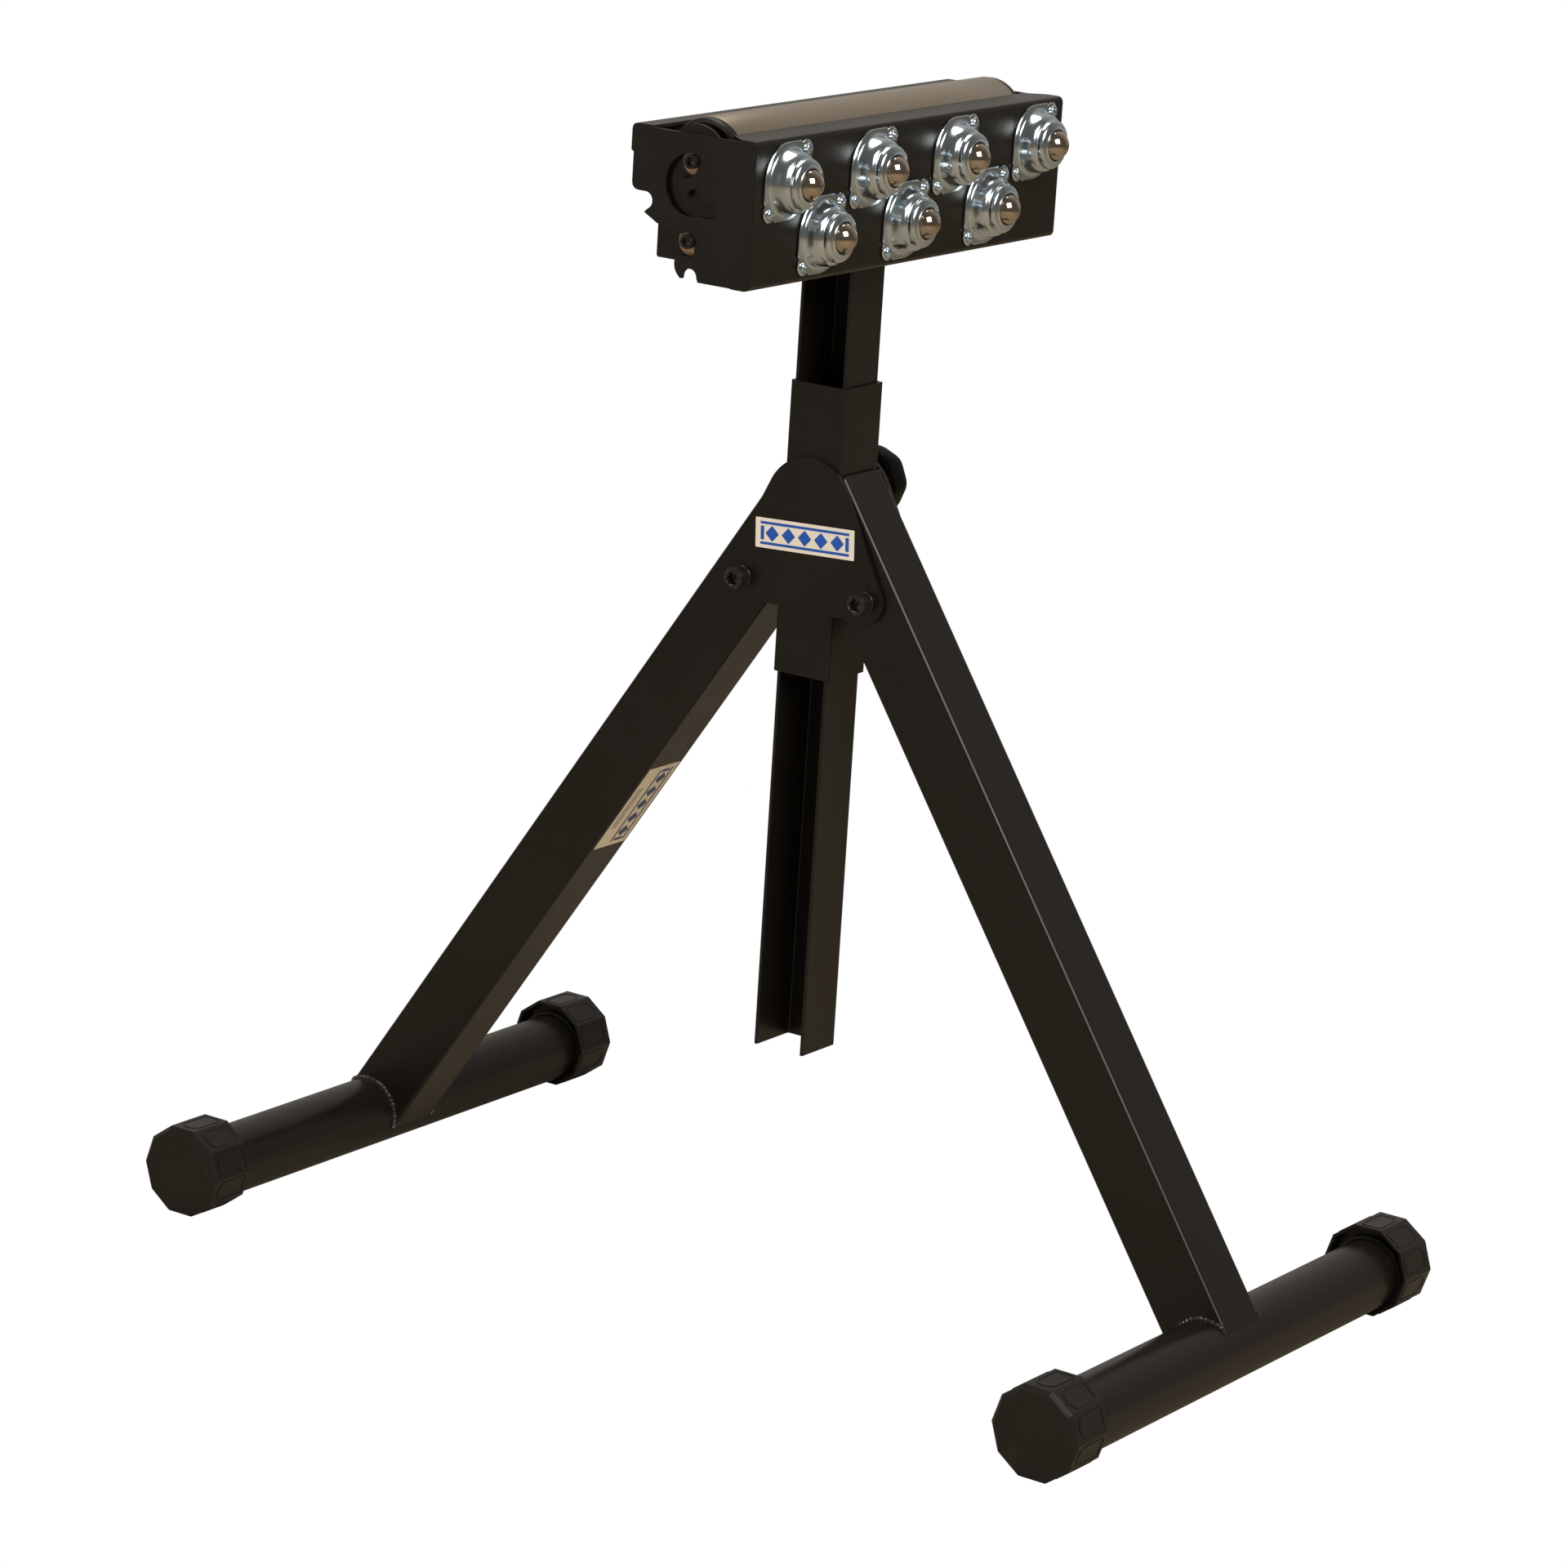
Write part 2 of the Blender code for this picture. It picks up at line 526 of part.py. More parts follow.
def build_bracket():
    """A wide U of folded strip on top of the post, drilled for the four hanger screws."""
    x, wall, bend = BRACKET_OUTER, BRACKET_WALL, BRACKET_WALL
    outline = arc((-x + bend, BRACKET_BASE + bend), bend, 180, 270, 3)
    outline += arc((x - bend, BRACKET_BASE + bend), bend, 270, 360, 3)
    outline += [
        (x, BRACKET_TOP), (x - wall, BRACKET_TOP), (x - wall, BRACKET_BASE + wall),
        (-x + wall, BRACKET_BASE + wall), (-x + wall, BRACKET_TOP), (-x, BRACKET_TOP),
    ]
    low, high = -BRACKET_HALF_WIDTH, BRACKET_HALF_WIDTH
    bracket = prism("head_bracket", "Y", low, high, outline, MATERIALS["powder"])
    crown = arc((0, ROLLER_HEIGHT), BRACKET_ARCH_RADIUS, 0, 350, 35)
    helper = hide_helper(prism("bracket_arch_shape", "X", -x, -x + wall, crown, MATERIALS["powder"]))
    combine(bracket, helper, "UNION")
    for tag, height in (("upper", ROLLER_HEIGHT), ("lower", LOWER_PIN_HEIGHT)):
        reach = BRACKET_OUTER + BRACKET_WALL
        spot = Vector((0, 0, height))
        drill = cutter(f"hanger_hole_{tag}", spot, "X", SCREW_RADIUS + SEAT_GAP, -reach, reach)
        combine(bracket, drill, "DIFFERENCE")


def build_roller():
    """A steel tube on two plastic ends, each with a bearing that turns on the fixed axle."""
    centre = Vector((0, 0, ROLLER_HEIGHT))
    half = ROLLER_HALF_LENGTH
    ring("roller_tube", centre, "X", ROLLER_RADIUS - ROLLER_WALL, ROLLER_RADIUS, -half, half,
         MATERIALS["steel"], steps=FINE)
    face = half + ROLLER_CAP_PROUD
    plug = ROLLER_RADIUS - ROLLER_WALL - SEAT_GAP
    rim = ROLLER_CAP_FACE_RADIUS - ROLLER_CAP_RIM
    dish = face - ROLLER_CAP_DISH
    hub = BEARING_RADIUS + ROLLER_CAP_RIM
    seat = BEARING_RADIUS + SEAT_GAP
    shaft = AXLE_RADIUS + 2 * SEAT_GAP
    bearing_face = dish - 0.5 * ROLLER_CAP_DISH
    shoulder = bearing_face - BEARING_WIDTH - SEAT_GAP
    for tag, side in (("left", -1), ("right", 1)):
        profile = [
            (shaft, half - ROLLER_CAP_PLUG), (plug, half - ROLLER_CAP_PLUG), (plug, half + SEAT_GAP),
            (ROLLER_CAP_FACE_RADIUS, half + SEAT_GAP), (ROLLER_CAP_FACE_RADIUS, face), (rim, face),
            (rim, dish), (hub, dish), (seat, bearing_face), (seat, shoulder), (shaft, shoulder),
        ]
        profile = [(radius, side * along) for radius, along in profile]
        turned(f"roller_end_{tag}", centre, "X", profile, MATERIALS["plastic"], ROUND, closed=True)
        low, high = sorted((side * (bearing_face - BEARING_WIDTH), side * bearing_face))
        ring(f"roller_bearing_{tag}", centre, "X", AXLE_RADIUS + RUNNING_GAP, BEARING_RADIUS, low, high,
             MATERIALS["steel"], steps=FINE)
    tapped = SCREW_RADIUS + SEAT_GAP
    depth = SCREW_LENGTH
    axle = [
        (0, -AXLE_END + depth), (tapped, -AXLE_END + depth), (tapped, -AXLE_END), (AXLE_RADIUS, -AXLE_END),
        (AXLE_RADIUS, AXLE_END), (tapped, AXLE_END), (tapped, AXLE_END - depth), (0, AXLE_END - depth),
    ]
    turned("roller_axle", centre, "X", axle, MATERIALS["steel"], 2 * SMALL)


def build_hangers():
    """Screws, washers and nuts at both ends of the bracket."""
    sizes = (SCREW_RADIUS, SCREW_LENGTH, PIN_RADIUS, PIN_HEAD_HEIGHT, PIN_SOCKET, PIN_SOCKET_DEPTH)
    washer = BRACKET_OUTER + SEAT_GAP
    nut_end = BRACKET_OUTER - BRACKET_WALL - SEAT_GAP
    for row, height in (("upper", ROLLER_HEIGHT), ("lower", LOWER_PIN_HEIGHT)):
        centre = Vector((0, 0, height))
        for tag, side in (("left", -1), ("right", 1)):
            head = centre + Vector((side * PIN_UNDERSIDE, 0, 0))
            socket_screw(f"hanger_screw_{row}_{tag}", head, side, sizes, MATERIALS["black_steel"])
            low, high = sorted((side * washer, side * (washer + HANGER_WASHER_THICKNESS)))
            ring(f"hanger_washer_{row}_{tag}", centre, "X", SCREW_RADIUS + RUNNING_GAP, HANGER_WASHER_RADIUS,
                 low, high, MATERIALS["passivated"], steps=2 * SMALL)
            if row == "lower":
                low, high = sorted((side * nut_end, side * (nut_end - HANGER_NUT_HEIGHT)))
                ring(f"hanger_nut_{tag}", centre, "X", SCREW_RADIUS + SEAT_GAP, HANGER_NUT_FLATS, low, high,
                     MATERIALS["steel"], steps=2 * SMALL, sides=6)


def end_plate_outline():
    """Outline of the shell's end plate, as (y, z), anticlockwise from the bottom front corner.

    The lower edge carries a hook and a seat for the lower pin when the plate stands high,
    and the back edge carries the seat for it when the balls face up.
    """
    back = SHELL_HALF_DEPTH - END_PLATE_INSET
    top, bottom = SHELL_TOP - END_PLATE_INSET, SHELL_BOTTOM + END_PLATE_INSET
    front = -back
    front_corner = (front + SHELL_BEND, top - SHELL_BEND)
    inner_back = back - SHELL_WALL
    lifted = (LIFTED_SEAT_OFFSET, ROLLER_HEIGHT - LIFTED_SEAT_DROP - PIN_SPACING)
    lower_pin = (0, LOWER_PIN_HEIGHT)
    hanging = (HANG_SEAT_OFFSET, HANG_SEAT_HEIGHT)
    edge = SHELL_BOTTOM + 0.0005
    points = arc((front_corner[0], bottom + SHELL_BEND), SHELL_BEND, 180, 270, 3)
    points += [(front + FLANGE_WIDTH, bottom), (front + FLANGE_WIDTH + 0.001, edge)]
    points += [(lifted[0] - SLOT_RADIUS - 0.0015, edge)]
    points += arc(lifted, SLOT_RADIUS + 0.0002, 180, 0, 12)
    tip_height = lifted[1] - 0.0016
    seat_edge = lifted[0] + SLOT_RADIUS
    points += [
        (seat_edge + 0.0003, tip_height + 0.0004), (seat_edge + 0.0010, tip_height - 0.0002),
        (seat_edge + 0.0021, tip_height - 0.0002), (seat_edge + 0.0031, tip_height + 0.0003),
    ]
    hook = arc((0, LOWER_SWING_HEIGHT), ISLAND_RADIUS, -50, 32, 9)
    points += hook
    shelf = hook[-1][1]
    points += [(-0.0025, shelf), (-SLOT_RADIUS, shelf + 0.003)]
    points += arc(lower_pin, SLOT_RADIUS, 180, 92, 6)
    points += arc((0, LOWER_SWING_HEIGHT), SWING_RADIUS + SLOT_RADIUS + 0.0002, 88, 62, 5)
    points += [
        (SWING_RADIUS - 0.005, LOWER_PIN_HEIGHT + 0.0033), (SWING_RADIUS + 0.011, LOWER_PIN_HEIGHT + 0.0087),
        (HANG_SEAT_OFFSET + 0.0005, HANG_SEAT_HEIGHT - SLOT_RADIUS - 0.0026),
    ]
    points += arc(hanging, SLOT_RADIUS + 0.0005, 245, 98, 10)
    corner = 0.005
    points += arc((inner_back - corner, HANG_SEAT_HEIGHT + 0.0059 + corner), corner, 270, 360, 3)
    points += [(inner_back, BACK_RAIL_BOTTOM - 0.001), (back, BACK_RAIL_BOTTOM + END_PLATE_INSET)]
    points += arc((back - SHELL_BEND, top - SHELL_BEND), SHELL_BEND, 0, 90, 3)
    rail_edge = back - RAIL_FLANGE_WIDTH
    flange_edge = front + UPPER_FLANGE_WIDTH - MITRE_WIDTH
    points += [
        (rail_edge, top), (rail_edge - END_PLATE_DIP, top - END_PLATE_DIP),
        (flange_edge + END_PLATE_DIP, top - END_PLATE_DIP), (flange_edge, top),
    ]
    points += arc(front_corner, SHELL_BEND, 90, 180, 3)
    return points


def end_plate_slot():
    """Slot of the upper pin, as (y, z), clockwise from its seat: round the tongue, then a level arm."""
    pin = (0, ROLLER_HEIGHT)
    centre = (0, SWING_HEIGHT)
    reach = SWING_RADIUS + SLOT_RADIUS
    arm_height = HANG_SEAT_HEIGHT
    arm_end = (HANG_SEAT_OFFSET - PIN_SPACING, arm_height)
    lifted = (LIFTED_SEAT_OFFSET, ROLLER_HEIGHT - LIFTED_SEAT_DROP)
    points = arc(pin, SLOT_RADIUS, 180, 90, 6)
    points += arc(centre, reach, 88, -90, 26)
    points += [(-SWING_RADIUS / 4, arm_height - SLOT_RADIUS)]
    points += arc(arm_end, SLOT_RADIUS, 270, 90, 10)
    points += [(lifted[0] - SLOT_RADIUS - 0.0004, arm_height + SLOT_RADIUS)]
    points += arc(lifted, SLOT_RADIUS, 180, 0, 12)
    points += [(lifted[0] + SLOT_RADIUS + 0.0003, arm_height + SLOT_RADIUS + 0.0005)]
    tongue = arc(centre, ISLAND_RADIUS - 0.0004, -42, 30, 8)
    points += tongue
    points += [
        (ISLAND_RADIUS / 2, SWING_HEIGHT + 0.0033), (-0.0014, pin[1] - SLOT_RADIUS - 0.0042),
        (-0.0046, pin[1] - 0.0045),
    ]
    return points


def build_shell():
    """One folded sheet: ball plate with two flanges, an end plate at each side and a back rail."""
    half, wall = SHELL_HALF_LENGTH, SHELL_WALL
    front, inner = -SHELL_HALF_DEPTH, -SHELL_HALF_DEPTH + SHELL_WALL
    low_corner = (front + SHELL_BEND, SHELL_BOTTOM + SHELL_BEND)
    high_corner = (front + SHELL_BEND, SHELL_TOP - SHELL_BEND)
    channel = [(front + UPPER_FLANGE_WIDTH, SHELL_TOP), *arc(high_corner, SHELL_BEND, 90, 180, 3)]
    channel += arc(low_corner, SHELL_BEND, 180, 270, 3)
    channel += [
        (front + FLANGE_WIDTH, SHELL_BOTTOM), (front + FLANGE_WIDTH, SHELL_BOTTOM + wall),
        (inner, SHELL_BOTTOM + wall), (inner, SHELL_TOP - wall),
        (front + UPPER_FLANGE_WIDTH, SHELL_TOP - wall),
    ]
    sheet_end = half - END_PLATE_PROUD
    shell = prism("ball_plate_shell", "X", -sheet_end, sheet_end, channel, MATERIALS["powder"])
    edge = front + UPPER_FLANGE_WIDTH
    for tag, side in (("left", -1), ("right", 1)):
        corner = [
            (side * (half + wall), edge - MITRE_WIDTH), (side * half, edge - MITRE_WIDTH),
            (side * (half - MITRE_LENGTH), edge), (side * (half - MITRE_LENGTH), edge + wall),
            (side * (half + wall), edge + wall),
        ]
        low, high = SHELL_TOP - 2 * wall, SHELL_TOP + wall
        helper = hide_helper(prism(f"mitre_shape_{tag}", "Z", low, high, corner, MATERIALS["powder"]))
        combine(shell, helper, "DIFFERENCE")
    back = SHELL_HALF_DEPTH
    rail = [
        (back - wall, BACK_RAIL_BOTTOM), (back, BACK_RAIL_BOTTOM),
        *arc((back - SHELL_BEND, SHELL_TOP - SHELL_BEND), SHELL_BEND, 0, 90, 3),
        (back - RAIL_FLANGE_WIDTH, SHELL_TOP), (back - RAIL_FLANGE_WIDTH, SHELL_TOP - wall),
        (back - wall, SHELL_TOP - wall),
    ]
    helper = hide_helper(prism("shell_rail_shape", "X", -sheet_end, sheet_end, rail, MATERIALS["powder"]))
    combine(shell, helper, "UNION")
    outline, slot = end_plate_outline(), end_plate_slot()
    for tag, low in (("left", -half), ("right", half - wall)):
        name = f"shell_end_shape_{tag}"
        helper = hide_helper(prism(name, "X", low, low + wall, outline, MATERIALS["powder"], holes=[slot]))
        combine(shell, helper, "UNION")


def leaf(angle):
    """Reach of a ball unit's flange: round, with two square ears that lie on one diagonal."""
    turn = angle % math.pi
    if turn > math.pi / 2:
        return 1.0
    corner = UNIT_EAR_RADIUS / UNIT_HALF_WIDTH
    square = 1 / max(math.cos(turn), math.sin(turn))
    inset = 1 - corner
    spread = inset * (math.cos(turn) + math.sin(turn))
    inside = spread ** 2 - 2 * inset ** 2 + corner ** 2
    if inside < 0:
        return square
    return min(square, spread + math.sqrt(inside))


def build_ball_unit(number, x, height):
    """A pressed flanged housing, and the ball that is free to roll in it."""
    origin = Vector((x, -SHELL_HALF_DEPTH - SEAT_GAP, height))
    flange = UNIT_FLANGE
    pocket = BALL_RADIUS + BALL_CLEARANCE
    reach = BALL_RADIUS * 0.27
    lip = BALL_STANDOFF + reach
    opening = math.sqrt(pocket ** 2 - reach ** 2)
    wide, mouth = UNIT_HALF_WIDTH, opening + UNIT_LIP_WALL
    outer = [
        (0, 0), (wide, 0), (wide, flange), (0.87 * wide, flange), (0.82 * wide, flange + 0.0012),
        (0.79 * wide, 0.53 * BALL_STANDOFF), (0.74 * wide, 0.67 * BALL_STANDOFF),
        (0.66 * wide, 0.76 * BALL_STANDOFF), (0.65 * wide, 0.90 * BALL_STANDOFF),
        (0.56 * wide, 1.03 * BALL_STANDOFF), (mouth, lip - 0.0012), (mouth, lip), (opening, lip),
        (pocket, BALL_STANDOFF),
        (pocket, BALL_STANDOFF - pocket), (0, BALL_STANDOFF - pocket),
    ]
    profile = [(radius, -along) for radius, along in outer]
    shapes = {1: leaf, 2: leaf}
    turned(f"ball_housing_{number}", origin, "Y", profile, MATERIALS["zinc"], ROUND, shapes=shapes)
    rings = 7
    turns = [math.pi * i / rings for i in range(rings + 1)]
    sphere = [
        (BALL_RADIUS * math.sin(turn), -BALL_STANDOFF - BALL_RADIUS * math.cos(turn)) for turn in turns
    ]
    sphere = [(0 if i in (0, rings) else radius, along) for i, (radius, along) in enumerate(sphere)]
    turned(f"ball_{number}", origin, "Y", sphere, MATERIALS["steel"], 16)


def build_ball_units():
    """Four units in the upper row and three in the lower, half a pitch along."""
    first = -UNIT_PITCH * (UPPER_ROW_COUNT - 1) / 2
    places = [(first + UNIT_PITCH * i, UPPER_ROW_HEIGHT) for i in range(UPPER_ROW_COUNT)]
    places += [(first + LOWER_ROW_SHIFT + UNIT_PITCH * i, LOWER_ROW_HEIGHT) for i in range(LOWER_ROW_COUNT)]
    for number, (x, height) in enumerate(places, start=1):
        build_ball_unit(number, x, height)


clear_scene()
MATERIALS = {
    "powder": make_material("powder_coat", (0.012, 0.011, 0.010), 0.45),
    "plastic": make_material("black_plastic", (0.012, 0.012, 0.012), 0.5),
    "steel": make_material("bright_steel", (0.55, 0.54, 0.52), 0.25, 1.0),
    "black_steel": make_material("black_oxide", (0.03, 0.03, 0.03), 0.35, 0.8),
    "zinc": make_material("zinc_plate", (0.62, 0.66, 0.68), 0.22, 1.0),
    "passivated": make_material("yellow_zinc", (0.55, 0.38, 0.24), 0.4, 0.6),
}
for leg_tag, leg_direction in (("front", -1), ("back", 1)):
    build_foot(leg_tag, leg_direction)
    build_leg(leg_tag, leg_direction)
    build_leg_bolt(leg_tag, leg_direction)
build_sleeve()
build_gussets()
build_clamp()
build_post()
build_bracket()
build_roller()
build_hangers()
build_shell()
build_ball_units()
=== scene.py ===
# Folding roller stand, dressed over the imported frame
import math

import bmesh
import bpy
from mathutils import Matrix, Vector


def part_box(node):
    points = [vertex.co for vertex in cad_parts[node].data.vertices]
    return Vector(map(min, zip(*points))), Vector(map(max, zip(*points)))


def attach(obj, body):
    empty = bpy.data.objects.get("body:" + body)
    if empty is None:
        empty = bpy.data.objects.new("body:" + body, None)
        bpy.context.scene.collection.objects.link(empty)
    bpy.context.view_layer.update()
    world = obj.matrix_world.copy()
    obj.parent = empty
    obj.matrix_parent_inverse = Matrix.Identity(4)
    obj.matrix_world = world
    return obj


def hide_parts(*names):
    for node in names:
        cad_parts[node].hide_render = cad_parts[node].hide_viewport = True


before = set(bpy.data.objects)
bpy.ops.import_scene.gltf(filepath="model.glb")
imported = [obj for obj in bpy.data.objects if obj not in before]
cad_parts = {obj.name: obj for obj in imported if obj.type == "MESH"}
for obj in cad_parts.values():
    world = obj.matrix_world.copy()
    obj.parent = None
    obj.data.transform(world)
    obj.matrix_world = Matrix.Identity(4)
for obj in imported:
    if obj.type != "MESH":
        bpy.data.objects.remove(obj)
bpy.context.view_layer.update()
print("frame loaded")

# Everyday helpers


def clearSelection():
    if bpy.context.object and bpy.context.object.mode != "OBJECT":
        bpy.ops.object.mode_set(mode="OBJECT")
    bpy.ops.object.select_all(action="DESELECT")


def pick(piece):
    clearSelection()
    piece.select_set(True)
    bpy.context.view_layer.objects.active = piece


def settle(piece):
    pick(piece)  # the place goes into the mesh, the object stays at the origin
    bpy.ops.object.transform_apply(location=True, rotation=True, scale=True)


def fixNormals(piece, gap=0.000002):
    pick(piece)
    bpy.ops.object.mode_set(mode="EDIT")
    bpy.ops.mesh.select_all(action="SELECT")
    bpy.ops.mesh.remove_doubles(threshold=gap)
    bpy.ops.mesh.normals_make_consistent(inside=False)
    bpy.ops.object.mode_set(mode="OBJECT")


def smooth(piece, degrees=32):
    pick(piece)
    bpy.ops.object.shade_smooth_by_angle(angle=math.radians(degrees))


def weigh(piece):
    # large faces decide the shading, so flat sheet stays flat beside its rounded edges
    pick(piece)
    weight = piece.modifiers.new("flatShading", "WEIGHTED_NORMAL")
    weight.keep_sharp = True
    weight.weight = 100
    bpy.ops.object.modifier_apply(modifier=weight.name)


def softenEdges(piece, width, segments, degrees):
    pick(piece)
    bevel = piece.modifiers.new("softEdges", "BEVEL")
    bevel.width = width
    bevel.segments = segments
    bevel.limit_method = "ANGLE"
    bevel.angle_limit = math.radians(degrees)
    bevel.miter_outer = "MITER_ARC"
    bpy.ops.object.modifier_apply(modifier=bevel.name)


def cutWith(piece, tool):
    pick(piece)
    cut = piece.modifiers.new("cut", "BOOLEAN")
    cut.operation = "DIFFERENCE"
    cut.solver = "EXACT"
    cut.object = tool
    bpy.ops.object.modifier_apply(modifier=cut.name)
    bpy.data.objects.remove(tool, do_unlink=True)


def joinInto(piece, others):
    clearSelection()
    for other in others:
        other.select_set(True)
    piece.select_set(True)
    bpy.context.view_layer.objects.active = piece
    bpy.ops.object.join()


def copyPiece(piece, name, move):
    twin = bpy.data.objects.new(name, piece.data.copy())
    bpy.context.scene.collection.objects.link(twin)
    twin.data.transform(move)
    if move.determinant() < 0:
        twin.data.flip_normals()
    return twin


def finishPiece(piece, body, material, replaced=()):
    piece.data.materials.clear()
    piece.data.materials.append(material)
    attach(piece, body)
    if replaced:
        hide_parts(*replaced)


axisParts = {"X": (1, 2, 0), "Y": (0, 2, 1), "Z": (0, 1, 2)}  # across, up, along


def spinPiece(name, profile, centre, axis, steps):
    # a line of points (radius, distance along the axis), spun round the axis
    across, _, along = axisParts[axis]
    clearSelection()
    bpy.ops.mesh.primitive_plane_add(size=0.001, location=centre)
    piece = bpy.context.object
    piece.name = name
    bpy.ops.object.mode_set(mode="EDIT")
    bpy.ops.mesh.select_mode(type="VERT")
    bpy.ops.mesh.select_all(action="SELECT")
    bpy.ops.mesh.merge(type="CENTER")
    here = Vector(centre)
    for index, (radius, distance) in enumerate(profile):
        target = Vector(centre)
        target[across] += radius
        target[along] += distance
        if index == 0:
            bpy.ops.transform.translate(value=target - here)
        else:
            bpy.ops.mesh.extrude_vertices_move(TRANSFORM_OT_translate={"value": target - here})
        here = target
    bpy.ops.mesh.select_all(action="SELECT")
    axisVector = [0.0, 0.0, 0.0]
    axisVector[along] = 1.0
    bpy.ops.mesh.spin(steps=steps, angle=2 * math.pi, center=centre, axis=axisVector)
    bpy.ops.object.mode_set(mode="OBJECT")
    settle(piece)
    fixNormals(piece)
    return piece


def reshape(piece, centre, axis, rule):
    # rule gives a new radius for a point's radius, distance along the axis and angle
    across, up, along = axisParts[axis]
    for vertex in piece.data.vertices:
        offset = vertex.co - centre
        radius = math.hypot(offset[across], offset[up])
        if radius < 1e-7:
            continue
        angle = math.atan2(offset[up], offset[across])
        scale = rule(radius, offset[along], angle) / radius
        vertex.co[across] = centre[across] + offset[across] * scale
        vertex.co[up] = centre[up] + offset[up] * scale


def polygonFactor(angle, sides):
    # how far a polygon's edge is from the centre at an angle, with a flat side downwards
    step = 2 * math.pi / sides
    offset = (angle + math.pi / 2 + step / 2) % step - step / 2
    return 1 / math.cos(offset)


def middle(node):
    low, high = map(Vector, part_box(node))
    return (low + high) / 2


def makeSlab(name, size, corner, steps=3, farCorner=None):
    # corner rounds the upright edges at -X, farCorner those at +X where it differs
    clearSelection()
    bpy.ops.mesh.primitive_cube_add(size=1.0, location=(0, 0, 0))
    slab = bpy.context.object
    slab.name = name
    bpy.ops.transform.resize(value=size)
    settle(slab)
    for sign, offset in ((-1, corner), (1, corner if farCorner is None else farCorner)):
        if not offset:
            continue
        bpy.ops.object.mode_set(mode="EDIT")
        bpy.ops.mesh.select_all(action="DESELECT")
        bpy.ops.mesh.select_mode(type="EDGE")
        mesh = bmesh.from_edit_mesh(slab.data)
        for edge in mesh.edges:
            first, second = edge.verts[0].co, edge.verts[1].co
            upright = abs(second.z - first.z) > size[2] * 0.9
            if upright and abs(first.x - sign * size[0] / 2) < size[0] * 0.001:
                edge.select_set(True)
        bmesh.update_edit_mesh(slab.data)
        bpy.ops.mesh.bevel(offset=offset, segments=steps, affect="EDGES")
        bpy.ops.object.mode_set(mode="OBJECT")
    return slab


def makeFrame(name, size, corner, farCorner, line, rise):
    # a thin raised outline with rounded corners, its foot just under z = 0
    foot, slope = 0.0002, 0.00012
    piece = makeSlab(name, (*size, rise + foot), corner, 8, farCorner)
    piece.data.transform(Matrix.Translation((0, 0, (rise - foot) / 2)))
    pick(piece)
    bpy.ops.object.mode_set(mode="EDIT")
    bpy.ops.mesh.select_all(action="DESELECT")
    bpy.ops.mesh.select_mode(type="FACE")
    mesh = bmesh.from_edit_mesh(piece.data)
    for face in mesh.faces:
        if face.normal.z > 0.9:
            face.select_set(True)
    bmesh.update_edit_mesh(piece.data)
    bpy.ops.mesh.inset(thickness=slope, depth=0)
    bpy.ops.mesh.inset(thickness=line - 2 * slope, depth=0)
    bpy.ops.mesh.inset(thickness=slope, depth=-rise - 0.00005)
    bpy.ops.object.mode_set(mode="OBJECT")
    return piece


# Node groups that several finishes share


def openGroup(name, inputs, outputs):
    tree = bpy.data.node_groups.new(name, "ShaderNodeTree")
    for label, kind, value in inputs:
        socket = tree.interface.new_socket(name=label, in_out="INPUT", socket_type=kind)
        if value is not None:
            socket.default_value = value
    for label, kind in outputs:
        tree.interface.new_socket(name=label, in_out="OUTPUT", socket_type=kind)
    return tree, tree.nodes.new("NodeGroupInput"), tree.nodes.new("NodeGroupOutput")


def addNode(tree, kind, links=(), **values):
    node = tree.nodes.new(kind)
    for key, value in values.items():
        if hasattr(node, key):
            setattr(node, key, value)
        else:
            node.inputs[key.replace("_", " ")].default_value = value
    for key, source in dict(links).items():
        tree.links.new(source, node.inputs[key])
    return node


def mathNode(tree, operation, first, second):
    node = tree.nodes.new("ShaderNodeMath")
    node.operation = operation
    for index, value in enumerate((first, second)):
        if isinstance(value, (int, float)):
            node.inputs[index].default_value = value
        else:
            tree.links.new(value, node.inputs[index])
    return node.outputs[0]


def rangeNode(tree, value, low, high, newLow, newHigh):
    node = addNode(tree, "ShaderNodeMapRange", {"Value": value})
    node.inputs["From Min"].default_value = low
    node.inputs["From Max"].default_value = high
    node.inputs["To Min"].default_value = newLow
    node.inputs["To Max"].default_value = newHigh
    return node.outputs["Result"]


coordinatesIn = ("Coordinates", "NodeSocketVector", None)
grainOut = [("Height", "NodeSocketFloat"), ("Cloud", "NodeSocketFloat")]


def makeGrainGroup():
    # orange peel of a sprayed or moulded skin, with a slow cloudiness
    inputs = [coordinatesIn, ("Scale", "NodeSocketFloat", 900.0)]
    tree, source, result = openGroup("skinGrain", inputs, grainOut)
    peel = addNode(tree, "ShaderNodeTexNoise", {"Vector": source.outputs[0], "Scale": source.outputs[1]},
                   Detail=3.0)
    cloud = addNode(tree, "ShaderNodeTexNoise", {"Vector": source.outputs[0]},
                    Scale=14.0, Detail=5.0, Roughness=0.62)
    tree.links.new(peel.outputs[0], result.inputs[0])
    tree.links.new(cloud.outputs[0], result.inputs[1])
    return tree


